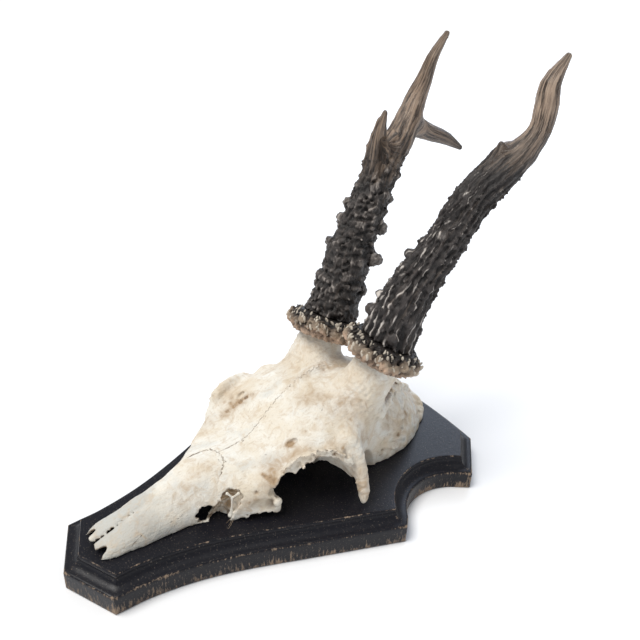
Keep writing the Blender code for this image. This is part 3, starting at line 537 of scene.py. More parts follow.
def skull_form(x, y, z):
    """Negative inside the bone of the whole cut skull."""
    ax = np.abs(x)
    mid, edge, half, rounding = (np.interp(y, c[:, 0], c[:, 1]) for c in STATION_CURVES)
    top = mid - (mid - edge) * (ax / half) ** 2
    loft = smooth_max(z - top, ax - half, rounding)
    body = np.maximum(loft, np.maximum(NOSE_Y - y, y - OCCIPUT_Y))
    body = smooth_min(body, tube(ax, y, z, CREST_PATH, CREST_RADII, 8), 3.0)
    body = smooth_min(body, tube(ax, y, z, TEMPORAL_LINE, [1.5] * len(TEMPORAL_LINE), 10), 3.0)
    # the groove between the nasal bones, the raised seams and the rough brow
    groove = 0.8 * (0.5 - 0.5 * np.tanh((y + 66.0) / 9.0)) + 0.5 * (0.5 - 0.5 * np.tanh((y + 48.0) / 6.0))
    body = body + groove * np.exp(-(x / 1.0) ** 2)
    body = body + 0.28 * np.exp(-(seam_distance(x, y) / 0.45) ** 2) * (z > 30)
    lumps = (0.32 * ripples(x, y, z, 4, 3.4) + 0.14 * ripples(x, y, z, 5, 1.7)) * np.where(x > 0, 1.0, 0.35)
    body = smooth_min(body, tube(ax, y, z, RIM_PATH, RIM_RADII, 10) - lumps, 3.6)
    # unevenness: broad everywhere, finer where muscles and skin held on
    rough = 0.25 + 0.9 * blob(ax, y, z, PEDICLE_FRONT, 14.0) + 0.7 * blob(ax, y, z, NECK_HOLD, 24.0)
    rough = np.clip(rough, 0, 1.2)
    body = body + 0.16 * ripples(x, y, z, 1, 11.0) + rough * (0.16 * ripples(x, y, z, 2, 4.0)
                                                             + 0.10 * ripples(x, y, z, 3, 1.8))
    run = z + 0.55 * (y - 60.0) + 1.2 * ripples(x, y, z, 12, 22.0)
    grain = 0.26 * np.sin(1.25 * run) + 0.20 * np.sin(2.9 * run + 1.0 + 0.8 * np.sin(0.5 * y))
    body = body + grain * np.clip((y - 44.0) / 10.0, 0.0, 1.0) * np.clip((z - 18.0) / 3.0, 0, 1)
    orbit = egg(ax, y, z, *ORBIT)
    brow_cut = tube(ax, y, z, BROW_CUT_PATH, BROW_CUT_RADII, 14)
    brow_cut = brow_cut + np.where(x > 0, 0.35 * ripples(x, y, z, 13, 3.2), 1.2)
    pocket = tube(ax, y, z, POCKET_PATH, POCKET_RADII, 6)
    # the hollow underside, with the thin inner wall of the eye socket left standing above its foot
    wall = np.minimum(2.4 - orbit, z - orbit_wall_foot(ax, y))
    shell = np.interp(y, (-62, -58, -38, -34, -16, -10), (1.7, 2.2, 2.2, 4.4, 4.4, 3.4))
    hollow = np.maximum(loft + shell, y - 17.0)
    hollow = np.maximum(np.maximum(hollow, wall), 1.6 - pocket)
    # holes: the notched front of each nasal bone, the break beside the nose and the brow's foramen
    notch = egg(ax, y, z, (6.2, -96.2, 18.6), (2.0, 5.6, 9.0))
    gap = egg(x, y, z, (15.2, -46.6, 21.4), (5.4, 4.4, 4.5)) + 0.5 * ripples(x, y, z, 7, 2.6)
    foramen = tube(ax, y, z, FORAMEN_PATH, FORAMEN_RADII, 5)
    # the flange in front of the eye: dished outer face, raised lower edge, torn end
    dish = egg(ax, y, z, (30.7, -27.2, 24.4), (4.6, 8.4, 4.3))
    lift = egg(ax, y, z, (29.0, -25.5, 14.2), (12.0, 14.0, 5.6)) + 0.35 * ripples(x, y, z, 8, 2.4)
    notch_back = np.minimum(egg(ax, y, z, (32.2, -19.8, 31.2), (4.8, 3.6, 3.3)),
                            egg(ax, y, z, (34.0, -14.0, 31.5), (9.4, 6.6, 9.0)))
    for cut, soft in ((orbit, 1.6), (brow_cut, 0.5), (egg(ax, y, z, *FOSSA), 1.3),
                      (egg(ax, y, z, *PASSAGE), 1.2), (pocket + 0.35 * ripples(x, y, z, 6, 3.0), 0.6),
                      (hollow, 0.5), (notch, 0.6), (gap, 0.4), (foramen, 0.5),
                      *((ball(x, y, z, pit, pit[3]), 0.4) for pit in PITS),
                      (dish, 1.4), (lift, 0.5), (notch_back, 0.5)):
        body = smooth_max(body, -cut, soft)
    knob = np.minimum(egg(ax, y, z, (31.0, -18.8, 25.6), (1.9, 2.3, 2.3)),
                      egg(ax, y, z, (30.2, -18.6, 21.8), (1.2, 1.8, 2.0)))
    bar = tube(ax, y, z, BAR_PATH, BAR_RADII, 12) - 0.12 * ripples(x, y, z, 9, 2.6)
    pedicle = tube(ax, y, z, PEDICLE, PEDICLE_RADII, 2) - rough * 0.16 * ripples(x, y, z, 10, 2.6)
    pedicle = pedicle - 0.07 * np.sin(3.2 * (0.42 * y + 0.9 * z) + 0.6 * np.sin(0.5 * x)) * (z > 55)
    ridge = tube(x, y, z, SUTURE_RIDGE, SUTURE_RIDGE_RADII, 8) - 0.30 * ripples(x, y, z, 11, 1.9)
    for part, soft in ((knob, 0.9), (bar, 3.6), (pedicle, 9.0), (ridge, 2.2)):
        body = smooth_min(body, part, soft)
    return np.maximum(body, SKULL_FLOOR - z)


def joined_corners(mask):
    """Whether the marked corners of a cell hang together along its edges."""
    marked = [c for c in range(8) if mask >> c & 1]
    seen = marked[:1]
    for c in seen:
        for bit in (1, 2, 4):
            if mask >> (c ^ bit) & 1 and c ^ bit not in seen:
                seen.append(c ^ bit)
    return len(seen) == len(marked)


SPLIT_CELL = np.array([not (joined_corners(m) and joined_corners(255 - m)) for m in range(256)])
CORNERS = np.array([(c & 1, c >> 1 & 1, c >> 2 & 1) for c in range(8)])


def cell_codes(inside):
    """Which corners of each cell lie inside, as the bits of a number."""
    code = np.zeros([s - 1 for s in inside.shape], np.int16)
    n = inside.shape
    for c, (i, j, k) in enumerate(CORNERS):
        code += inside[i:n[0] - 1 + i, j:n[1] - 1 + j, k:n[2] - 1 + k].astype(np.int16) << c
    return code


def skin(form, low, high, step, every=3):
    """Closed surface where a form crosses zero, worked out finely only near that surface."""
    coarse = step * every
    counts = [int(math.ceil((b - a) / coarse)) + 2 for a, b in zip(low, high)]
    start = np.array(low, float) - coarse
    axes = [s + coarse * np.arange(c + 1) for s, c in zip(start, counts)]
    grid = np.meshgrid(*axes, indexing="ij")
    rough = form(*[g.ravel() for g in grid]).reshape(grid[0].shape)
    near = np.full(counts, 1e3)
    for i, j, k in CORNERS:
        near = np.minimum(near, np.abs(rough[i:counts[0] + i, j:counts[1] + j, k:counts[2] + k]))
    near = near < 1.75 * coarse + 1.0
    f, mask = rough[:-1, :-1, :-1], near
    for axis in range(3):
        f = np.repeat(f, every, axis)
        mask = np.repeat(mask, every, axis)
    f = np.pad(f, ((0, 1),) * 3, mode="edge")
    mask = np.pad(mask, ((0, 1),) * 3)
    for axis in range(3):
        mask = mask | np.roll(mask, 1, axis)
    spots = np.argwhere(mask)
    place = start + step * spots
    f[mask] = form(place[:, 0], place[:, 1], place[:, 2])
    for _ in range(6):
        bad = np.argwhere(SPLIT_CELL[cell_codes(f < 0)])
        if not len(bad):
            break
        for corner in CORNERS:
            i, j, k = (bad + corner).T
            f[i, j, k] = np.minimum(f[i, j, k], -0.02 * step)
    inside = f < 0
    code = cell_codes(inside)
    crossed = (code > 0) & (code < 255)
    index = np.full(crossed.shape, -1)
    index[crossed] = np.arange(crossed.sum())
    cells = np.argwhere(crossed)
    total = np.zeros((len(cells), 3))
    hits = np.zeros(len(cells))
    for a in range(8):
        for bit in (1, 2, 4):
            b = a | bit
            if b == a:
                continue
            va = f[tuple((cells + CORNERS[a]).T)]
            vb = f[tuple((cells + CORNERS[b]).T)]
            cut = (va < 0) != (vb < 0)
            t = va[cut] / (va[cut] - vb[cut])
            total[cut] += CORNERS[a] + t[:, None] * (CORNERS[b] - CORNERS[a])
            hits[cut] += 1
    points = start + step * (cells + total / hits[:, None])
    faces = []
    for axis in range(3):
        u, v = (axis + 1) % 3, (axis + 2) % 3
        n = list(f.shape)
        n[axis] -= 1
        first = [slice(1, s - 1) for s in n]
        first[axis] = slice(0, n[axis])
        second = list(first)
        second[axis] = slice(1, n[axis] + 1)
        a, b = inside[tuple(first)], inside[tuple(second)]
        base = np.argwhere(a != b)
        out = a[a != b]
        base[:, u] += 1
        base[:, v] += 1
        ring = []
        for du, dv in ((-1, -1), (0, -1), (0, 0), (-1, 0)):
            cell = base.copy()
            cell[:, u] += du
            cell[:, v] += dv
            ring.append(index[tuple(cell.T)])
        ring = np.column_stack(ring)
        ring[~out] = ring[~out][:, ::-1]
        faces.append(ring)
    return largest_part(points, np.vstack(faces))


def largest_part(points, faces):
    """Keep only the closed surface with the most points."""
    label = np.arange(len(points))
    while True:
        low = label[faces].min(axis=1)
        new = label.copy()
        for k in range(4):
            np.minimum.at(new, faces[:, k], low)
        new = new[new]
        if np.array_equal(new, label):
            break
        label = new
    kept = label == np.bincount(label).argmax()
    number = np.cumsum(kept) - 1
    return points[kept], number[faces[kept[faces[:, 0]]]]


def outward(points, faces):
    """Unit normals at the points of a surface."""
    quad = points[faces]
    normal = np.cross(quad[:, 2] - quad[:, 0], quad[:, 3] - quad[:, 1])
    total = np.zeros(points.shape)
    for k in range(4):
        np.add.at(total, faces[:, k], normal)
    return total / np.maximum(np.linalg.norm(total, axis=1), 1e-9)[:, None]


FAR = 9.0              # mm, what counts as nowhere near a crack or a seam


def path_distance(x, y, z, paths):
    """Distance to the nearest of some lines, up to what counts as far."""
    nearest = np.full(x.shape, FAR)
    for path in paths:
        nearest = np.minimum(nearest, tube(x, y, z, path, [0.0] * len(path), 3 * len(path)))
    return nearest


def bone_marks(points, faces):
    """What the bone's material needs at each point: stain, painted shade in crevices and distance to a
    crack.
    """
    x, y, z = points.T
    ax = np.abs(x)
    stain = np.zeros(len(points))
    for centre, size, strength in STAINS:
        stain += strength * blob(x, y, z, centre, size)
    for pit in PITS:
        stain += 0.9 * blob(x, y, z, pit, 1.6 * pit[3])
    pocket = tube(ax, y, z, POCKET_PATH, POCKET_RADII, 6)
    stain += 1.1 * np.clip(1.0 - np.abs(pocket) / 0.8, 0, 1) * (ax < 17.5)
    normal = outward(points, faces)
    # painted shade: the more closely the bone closes in round a point, along its normal, the darker it is
    # painted
    crevice_shade = np.zeros(len(points))
    for reach in (1.2, 3.0):
        ahead = points + reach * normal
        crevice_shade += 0.5 * np.clip(1.0 - skull_form(*ahead.T) / reach, 0.0, 1.0)
    warm = 0.36 * np.clip((y + 2.0 - 0.25 * ax) / 50.0, 0, 1) + 0.6 * blob(ax, y, z, (28, -26, 25), 9.0)
    # the front of the nose is made greyer and darker in colour
    warm += 0.5 * blob(ax, y, z, (33, 0, 47), 12.0) - 0.75 * np.clip((-50.0 - y) / 25.0, 0, 1)
    warm += 0.12 * ripples(x, y, z, 23, 15.0)
    warm += 0.30 * np.clip((y - 42.0) / 8.0, 0, 1) * ripples(x, y, z, 22, 6.0)
    return {"stain": np.clip(stain, 0.0, 1.6), "crevice_shade": crevice_shade, "crack": path_distance(x, y, z, CRACKS),
            "warm": warm, "seam": seam_distance(x, y) + FAR * (z < 30)}


def bone_material():
    look = Look("old_bone")
    spot = look.add("ShaderNodeTexCoord", "Object")
    stain, crevice_shade, crack, warm, seam = map(look.mark, ("stain", "crevice_shade", "crack", "warm", "seam"))
    broad = look.noise(spot, 70.0, 6.0, 0.62, 0.6)
    fine = look.noise(spot, 420.0, 6.0, 0.65)
    blots = look.noise(spot, 190.0, 4.0, 0.6, 1.0)
    fibre = look.noise(look.add("ShaderNodeMapping", Vector=spot, Scale=(1.0, 0.14, 1.0)), 1100.0, 4.0, 0.6)
    pores = look.add("ShaderNodeTexVoronoi", Vector=spot, Scale=1300.0)
    warmth = look.total(broad, 1.3, warm)
    crack_line = look.ramp(look.total(fine, 0.5, crack), 0.50, 0.34, 0.85)
    color = (0.83, 0.81, 0.745)
    for amount, above in (
            # yellowed and warm areas, greyer and darker areas (most of all towards the front of the nose),
            # blots, fibres, stains, painted shade in crevices, seams and cracks
            (look.ramp(broad, 0.36, 0.66, 0.8), (0.74, 0.665, 0.54)),
            (look.ramp(warmth, 0.62, 1.75, 0.8), (0.67, 0.54, 0.37)),
            (look.ramp(warmth, 0.52, 0.0, 0.72), (0.43, 0.43, 0.40)),
            (look.ramp(blots, 0.50, 0.66, 0.46), (0.56, 0.43, 0.29)),
            (look.ramp(fibre, 0.54, 0.70, 0.42), (0.50, 0.40, 0.29)),
            (look.reckon("MULTIPLY", stain, look.ramp(blots, 0.3, 0.7, 1.25, 0.25), clamp=True),
             (0.41, 0.29, 0.18)),
            # painted shade, darkest deep in crevices
            (look.ramp(crevice_shade, 0.22, 0.66, 0.85), (0.17, 0.105, 0.06)),
            (look.ramp(look.total(blots, 0.7, seam), 0.72, 0.44, 0.80), (0.20, 0.14, 0.09)),
            (crack_line, (0.13, 0.085, 0.055))):
        color = look.blend(amount, color, above)
    relief = look.total(crack_line, -1.5, look.total(pores, 0.35, look.total(fibre, 0.8, fine)))
    return look.finish(color, 0.55, 0.35, relief, 0.9, 0.0004)


BONE = bone_material()


def build_bone(name, node, territory, low, high, under=0.0):
    """One bone: the part of the skull's form in its territory, a hair lower where it passes under."""
    def form(x, y, z):
        return np.maximum(skull_form(x, y, z) + under, territory(x, y, z))
    points, faces = skin(form, low, high, BONE_STEP)
    piece = mesh_object(name, points, faces.tolist(), BONE, bone_marks(points, faces))
    fix(piece, "bone", node)


# Nasal bones: two long thin plates side by side over the nose, forked at their front ends.
# They meet along a groove and join the brow in a toothed seam.
OVERLAP = 1.2          # how far a bone passes under its neighbour where they have grown together
NASAL_HALF = 10.4


def over_midline(side, x, y):
    """Negative on a bone's own side of the middle seam, where the right one passes under the left."""
    return side * (suture_x(y) - x) - (0.0 if side > 0 else OVERLAP)


def nasal_ground(side):
    return lambda x, y, z: np.maximum(np.maximum(over_midline(side, x, y), side * x - NASAL_HALF),
                                      y - nasal_root(x) - OVERLAP)


build_bone("nasal_bone_left", "nasal_left", nasal_ground(1), (-1, -97, 16), (12, -29, 42), 0.05)
build_bone("nasal_bone_right", "nasal_right", nasal_ground(-1), (-12, -97, 16), (2, -29, 42), 0.08)


# Upper jaw bones: the side walls of the nose, from the front end back to the broken hollow
# before the eye. Their seam with the nasal bones has grown shut.


def jaw_ground(ax, x, y):
    """Negative where the jaw bones lie, at a distance from the midline on their own side."""
    return np.maximum(NASAL_HALF - OVERLAP - ax, y - nasal_root(x) - OVERLAP)


build_bone("jaw_bone_left", "maxilla_left",
           lambda x, y, z: jaw_ground(x, x, y), (8, -97, 16), (22, -38, 38), 0.10)
build_bone("jaw_bone_right", "maxilla_right",
           lambda x, y, z: jaw_ground(-x, x, y), (-22, -97, 16), (-8, -38, 38), 0.10)


# Tear bones: the plates in front of the eyes, thin and dished, with torn lower and rear edges.
# They have grown together with the jaw bones in front and with the brow behind.
TEAR_IN = 19.0
TEAR_BACK = -15.0


def tear_ground(ax, y):
    return np.maximum(np.maximum(TEAR_IN - ax, y - TEAR_BACK), nasal_root(ax) - y)


build_bone("tear_bone_left", "lacrimal_left", lambda x, y, z: np.maximum(tear_ground(x, y) - OVERLAP, -x),
           (17, -48, 16), (37, -13, 46), 0.05)
build_bone("tear_bone_right", "lacrimal_right", lambda x, y, z: np.maximum(tear_ground(-x, y) - OVERLAP, x),
           (-37, -48, 16), (-17, -13, 46), 0.05)


# Frontal bones: the forehead, each with its rough brow, the prong behind the eye and the
# round pedicle that bears the antler. They meet in a seam that stands up between the pedicles.
CORONAL_FOOT = 43.0
CORONAL_LEAN = 0.33
SEAT_RISE = 0.6        # how far a pedicle reaches up inside its ring


def seat_of(side):
    """Centre of the top of a pedicle, drawn for the left side, and the way up out of it."""
    top, foot = np.array(PEDICLE[1]), np.array(PEDICLE[0])
    drop = 0.0 if side > 0 else SEAT_DROP_RIGHT
    axis = np.array(CORONET_AXIS) / np.linalg.norm(CORONET_AXIS)
    return top + drop * (foot - top) / np.linalg.norm(foot - top), axis


def coronal(y, z):
    """Distance behind the leaning seam between the frontal bones and the braincase."""
    return (y - CORONAL_FOOT - CORONAL_LEAN * (z - SKULL_FLOOR)) / math.hypot(1.0, CORONAL_LEAN)


def frontal_ground(side):
    seat, axis = seat_of(side)

    def territory(x, y, z):
        ax = side * x
        above = (ax - seat[0]) * axis[0] + (y - seat[1]) * axis[1] + (z - seat[2]) * axis[2] - SEAT_RISE
        return np.max([over_midline(side, x, y), nasal_root(x) - y, -tear_ground(ax, y), coronal(y, z),
                       above], axis=0)
    return territory


build_bone("frontal_bone_left", "frontal_left", frontal_ground(1), (-4, -47, 16), (52, 62, 80))
build_bone("frontal_bone_right", "frontal_right", frontal_ground(-1), (-52, -50, 16), (2, 62, 80), 0.03)


# Braincase: the dome behind the antlers, ridged where the neck held on, with slits and pores.
# Its seam with the brow leans back as it rises, and it is cut off flat below.
build_bone("brain_case", "braincase",
           lambda x, y, z: -coronal(y, z) - OVERLAP, (-34, 41, 16), (34, 101, 62), 0.05)


# Splint of bone that still bridges the broken hollow on the left cheek, with a few dried
# shreds of skin hanging at its foot and in the hollow.
SPLINT_MEETS = (19.5, -36.0, 28.4)
SPLINT_ARMS = (
    (((18.0, -37.6, 30.8), (18.9, -36.6, 29.6), SPLINT_MEETS), (0.7, 0.45, 0.5), 5),
    (((21.6, -33.8, 31.6), (20.6, -34.9, 30.0), SPLINT_MEETS), (0.7, 0.45, 0.5), 5),
    ((SPLINT_MEETS, (19.9, -36.3, 25.0), (19.9, -36.6, 21.0), (19.8, -37.2, 18.8)),
     (0.5, 0.5, 0.7, 1.2), 7),
)


def even_marks(count, stain, crevice_shade, warm):
    """The same marks at every point, away from all cracks and seams."""
    return {"stain": [stain] * count, "crevice_shade": [crevice_shade] * count, "warm": [warm] * count,
            "crack": [FAR] * count, "seam": [FAR] * count}


def build_splint():
    def form(x, y, z):
        arms = tube(x, y, z, *SPLINT_ARMS[0])
        for arm in SPLINT_ARMS[1:]:
            arms = smooth_min(arms, tube(x, y, z, *arm), 0.6)
        return arms
    points, faces = skin(form, (15, -41, 17), (24, -31, 34), 0.3)
    marks = even_marks(len(points), 0.1, 0.0, 0.0)
    fix(mesh_object("cheek_splint", points, faces.tolist(), BONE, marks), "bone")


build_splint()

SHREDS = (
    ((20.6, -36.4, 17.6), (21.4, -37.6, 17.3), (22.2, -38.6, 16.9), (23.2, -40.4, 16.5)),
    ((20.9, -36.2, 17.5), (22.4, -37.4, 17.6), (23.8, -39.8, 16.8), (24.6, -41.4, 16.5)),
    ((20.4, -36.8, 17.7), (21.0, -38.6, 17.4), (21.2, -40.2, 16.6)),
    ((17.6, -39.6, 28.6), (17.3, -40.6, 26.6), (17.6, -41.2, 24.4), (17.2, -42.0, 22.4)),
    ((17.0, -40.4, 28.0), (16.6, -41.4, 25.8), (16.9, -42.4, 23.6)),
    ((18.4, -38.8, 29.2), (18.6, -39.4, 26.4), (18.1, -40.4, 23.8), (18.4, -40.9, 21.6)),
)
SHRED_SIZE = 0.11
SHRED_RINGS = 12
SHRED_SIDES = 5


def build_shreds():
    points, faces = [], []
    n = SHRED_SIDES
    for path in SHREDS:
        for k, spot in enumerate(curve_through(path, SHRED_RINGS)):
            at = len(points)
            thin = SHRED_SIZE * (1.15 - 0.7 * k / (SHRED_RINGS - 1))
            points += [spot + thin * np.array((math.cos(a), math.sin(a), 0.3 * math.sin(a)))
                       for a in np.linspace(0, 2 * math.pi, n + 1)[:-1]]
            if k:
                faces += [(at - n + i, at - n + (i + 1) % n, at + (i + 1) % n, at + i) for i in range(n)]
        first, last = len(points) - n * SHRED_RINGS, len(points) - n
        faces += [tuple(range(first, first + n))[::-1], tuple(range(last, last + n))]
    # the shreds carry a fixed painted shade as well as their stain
    marks = even_marks(len(points), 0.9, 0.5, 0.6)
    fix(mesh_object("dried_shreds", points, faces, BONE, marks), "bone")


build_shreds()


# Coronets: the rings of dark pearly antler at the foot of each beam, tan and worn below,
# nearly black above, where small pale pearls stand close together.
CORONET_RADIUS = 18.8
CORONET_TALL = 10.6
CORONET_OFFSET = (-1.3, -1.5, 0.0)
CORONET_KNOB = (8.5, 38.0, 70.5, 3.6)
CORONET_PEARLS = 26
CORONET_PEARL_SIZE = (2.0, 3.0)
CORONET_STEP = 0.5
PEARL_SEED = 11


def antler_material(name, valley, ridge, tip, pale_from, pale_to, brown=(0.26, 0.175, 0.115)):
    """Antler: dark in the hollows, rubbed pale where it stands up, smooth and brown at the ends."""
    look = Look(name)
    height, tint, worn = map(look.mark, ("height", "tint", "worn"))
    spot, flow = look.add("ShaderNodeTexCoord", "Object"), look.mark("flow", "Vector")
    streak = look.noise(flow, 0.9, 5.0, 0.62)
    thin = look.noise(flow, 2.6, 3.0, 0.6)
    fine = look.noise(spot, 700.0, 5.0, 0.6)
    rise = look.total(fine, 0.6, height)
    rise = look.total(thin, 1.0, look.total(look.noise(spot, 110.0, 3.0), 0.8, rise))
    middle = look.ramp(rise, 1.2 + pale_from - 0.9, 1.2 + pale_from + 0.1)
    rough_part = look.blend(look.ramp(rise, 1.2 + pale_from, 1.2 + pale_to),
                            look.blend(middle, valley, ridge), tip)
    smooth_part = look.blend(look.ramp(streak, 0.41, 0.62), (0.040, 0.025, 0.017), brown)
    smooth_part = look.blend(look.ramp(thin, 0.54, 0.72, 0.8), smooth_part, (0.50, 0.40, 0.31))
    wearing = look.ramp(look.total(streak, 0.7, worn), 0.40, 1.15)
    tinted = look.reckon("MULTIPLY", tint, look.ramp(rise, 0.9, 1.9, 1.0, 0.35))
    color = look.blend(tinted, look.blend(wearing, rough_part, smooth_part), (0.50, 0.35, 0.25))
    relief = look.total(thin, 1.3, look.total(streak, 1.5, fine))
    return look.finish(color, look.ramp(wearing, 0.0, 1.0, 0.33, 0.52), 0.45, relief, 0.65, 0.0005)


CORONET_LOOK = antler_material("coronet_antler", (0.011, 0.008, 0.007), (0.055, 0.038, 0.027),
                               (0.30, 0.23, 0.165), 1.1, 2.6)


def ways_across(way):
    """Two unit directions square to a given one."""
    one = np.cross(way, (0.0, 1.0, 0.0))
    one = one / np.linalg.norm(one)
    return one, np.cross(way, one)


def spoke(angle, across):
    """The direction at an angle between two directions across a path."""
    return math.cos(angle) * across[0] + math.sin(angle) * across[1]


def ring_frame(side):
    """Centre of a ring, drawn for the left side, the way up out of it and the ways across it."""
    seat, n = seat_of(side)
    return seat + np.array(CORONET_OFFSET) + 0.5 * CORONET_TALL * n, n, ways_across(n)


def to_side(side, points, faces):
    """Mirrors what was drawn for the left side if it belongs on the right."""
    return (points, faces) if side > 0 else (points * (-1, 1, 1), faces[:, ::-1])


def coronet_forms(side):
    """The ring's full form, its plain body and height and angle in it, drawn for the left side."""
    centre, n, (u, v) = ring_frame(side)
    rng = np.random.default_rng(PEARL_SEED + 20 + side)
    knobs = [(*(np.array(CORONET_KNOB[:3]) + (seat_of(side)[0] - np.array(PEDICLE[1]))), CORONET_KNOB[3])]
    for number in range(CORONET_PEARLS):
        angle = 2 * math.pi * (number + rng.uniform(-0.25, 0.25)) / CORONET_PEARLS
        size = rng.uniform(*CORONET_PEARL_SIZE)
        reach = CORONET_RADIUS - 0.8 + rng.uniform(-0.8, 0.8)
        spot = centre + reach * spoke(angle, (u, v))
        knobs.append((*(spot + rng.uniform(-1.4, 1.8) * n), size))

    def parts(x, y, z):
        px, py, pz = x - centre[0], y - centre[1], z - centre[2]
        h, a, b = (px * way[0] + py * way[1] + pz * way[2] for way in (n, u, v))
        return h, np.sqrt(a * a + b * b), np.arctan2(b, a)

    def plain(h, r):
        return smooth_max(r - (CORONET_RADIUS - 1.5), np.abs(h) - 0.62 * CORONET_TALL, 5.0)

    def form(x, y, z):
        h, r, turn = parts(x, y, z)
        furrow = 0.30 * np.sin(31.0 * turn + 1.3 * np.sin(0.9 * h)) * np.clip((r - 12.0) / 4.0, 0, 1)
        body = plain(h, r) - furrow
        for knob in knobs:
            body = smooth_min(body, ball(x, y, z, knob, knob[3]), 1.0)
        body = body - 0.34 * ripples(x, y, z, 41 + side, 2.8) - 0.20 * ripples(x, y, z, 43 + side, 1.4)
        ends = np.maximum(0.15 - h - 0.5 * CORONET_TALL, h - 0.5 * CORONET_TALL - 0.35)
        return np.maximum(np.maximum(body, 0.15 - x), ends)
    return form, plain, parts


def build_coronet(side, name, node):
    form, plain, parts = coronet_forms(side)
    points, faces = skin(form, (0, 20, 50), (46, 78, 98), CORONET_STEP)
    h, r, turn = parts(*points.T)
    tint = np.clip(-(h - 0.2 + 0.9 * np.sin(5.0 * turn) + 0.6 * np.sin(13.0 * turn)) / 2.6, 0.0, 1.0)
    points, faces = to_side(side, points, faces)
    marks = {"height": 0.8 * plain(h, r), "tint": tint, "worn": np.zeros(len(points)), "flow": 0.5 * points}
    fix(mesh_object(name, points, faces.tolist(), CORONET_LOOK, marks), "coronet", node)
    return form


LEFT_RING = build_coronet(1, "coronet_ring_left", "coronet_left")
RIGHT_RING = build_coronet(-1, "coronet_ring_right", "coronet_right")


# Small pearls of the coronets: pale, worn grains of the same bone, rubbed nearly white. They are
# set close together into the dark upper half of each ring, pointing up and outwards.
GRAINS_PER_RING = 170
GRAIN_SHAPE = (0.44, 0.36, 1.0)
GOLDEN_TURN = 2.399963     # from one grain or pearl to the next, so that they spread evenly


def grain_tree(material, small, large):
    """Sets a worn grain on each point of a cloud, turned and sized at random."""
    tree = bpy.data.node_groups.new("grains", "GeometryNodeTree")
    tree.interface.new_socket("Geometry", in_out="INPUT", socket_type="NodeSocketGeometry")
    smallest = tree.interface.new_socket("Smallest", in_out="INPUT", socket_type="NodeSocketFloat")
    largest = tree.interface.new_socket("Largest", in_out="INPUT", socket_type="NodeSocketFloat")
    tree.interface.new_socket("Geometry", in_out="OUTPUT", socket_type="NodeSocketGeometry")
    source = tree.nodes.new("NodeGroupInput").outputs
    target = tree.nodes.new("NodeGroupOutput").inputs
    grain = add_node(tree, "GeometryNodeMeshIcoSphere", Radius=1.0, Subdivisions=2)
    shaped = add_node(tree, "GeometryNodeTransform", Geometry=grain, Scale=GRAIN_SHAPE)
    facing = add_node(tree, "GeometryNodeInputNamedAttribute", "Attribute", {"data_type": "FLOAT_VECTOR"},
                      Name="facing")
    turned = add_node(tree, "FunctionNodeAlignRotationToVector", 0, {"axis": "Z"}, Vector=facing)
    size = add_node(tree, "FunctionNodeRandomValue", 1, {"data_type": "FLOAT"}, n2=source["Smallest"],
                    n3=source["Largest"], Seed=5)
    setter = add_node(tree, "GeometryNodeInstanceOnPoints", Points=source["Geometry"], Instance=shaped,
                      Rotation=turned, Scale=size)
    real = add_node(tree, "GeometryNodeRealizeInstances", Geometry=setter)
    tree.links.new(add_node(tree, "GeometryNodeSetMaterial", Geometry=real, Material=material), target[0])
    return tree, {smallest.identifier: small, largest.identifier: large}


def scatter(name, spots, facing, material, small, large):
    """A piece made of one grain at each spot."""
    mesh = bpy.data.meshes.new(name)
    mesh.from_pydata((np.asarray(spots) * MM).tolist(), [], [])
    layer = mesh.attributes.new("facing", "FLOAT_VECTOR", "POINT")
    layer.data.foreach_set("vector", np.asarray(facing, np.float32).ravel())
    obj = add_object(name, mesh)
    tree, values = grain_tree(material, small * MM, large * MM)
    mod = obj.modifiers.new("grains", "NODES")
    mod.node_group = tree
    for key, value in values.items():
        mod[key] = value
    graph = bpy.context.evaluated_depsgraph_get()
    made = bpy.data.meshes.new_from_object(obj.evaluated_get(graph))
    obj.modifiers.remove(mod)
    obj.data = made
    made.shade_smooth()
    return obj


def pearl_material():
    look = Look("worn_pearl")
    fine = look.noise(look.add("ShaderNodeTexCoord", "Object"), 260.0, 4.0)
    return look.finish(look.blend(fine, (0.10, 0.07, 0.05), (0.85, 0.77, 0.64)), 0.5)


PEARL = pearl_material()


def build_ring_grains(side, name, form):
    centre, n, across = ring_frame(side)
    rng = np.random.default_rng(70 + side)
    spots, facing = [], []
    for number in range(GRAINS_PER_RING):
        out = spoke(number * GOLDEN_TURN + rng.uniform(-0.2, 0.2), across)
        rise = rng.uniform(-1.2, 5.2)
        reach = np.arange(CORONET_RADIUS + 6.0, CORONET_RADIUS - 6.0, -0.1)
        line = centre + rise * n + reach[:, None] * out
        hit = np.argmax(form(*line.T) < 0)
        if hit == 0 or line[hit, 0] < 1.2:
            continue
        spots.append(line[hit] - 0.35 * out)
        way = 0.8 * n + out * rng.uniform(-0.3, 0.45) + 0.5 * rng.normal() * np.cross(out, n)
        facing.append(way / np.linalg.norm(way))
    mirror = (side, 1, 1)
    fix(scatter(name, np.array(spots) * mirror, np.array(facing) * mirror, PEARL, 0.9, 2.0), "coronet")


build_ring_grains(1, "ring_grains_left", LEFT_RING)
build_ring_grains(-1, "ring_grains_right", RIGHT_RING)


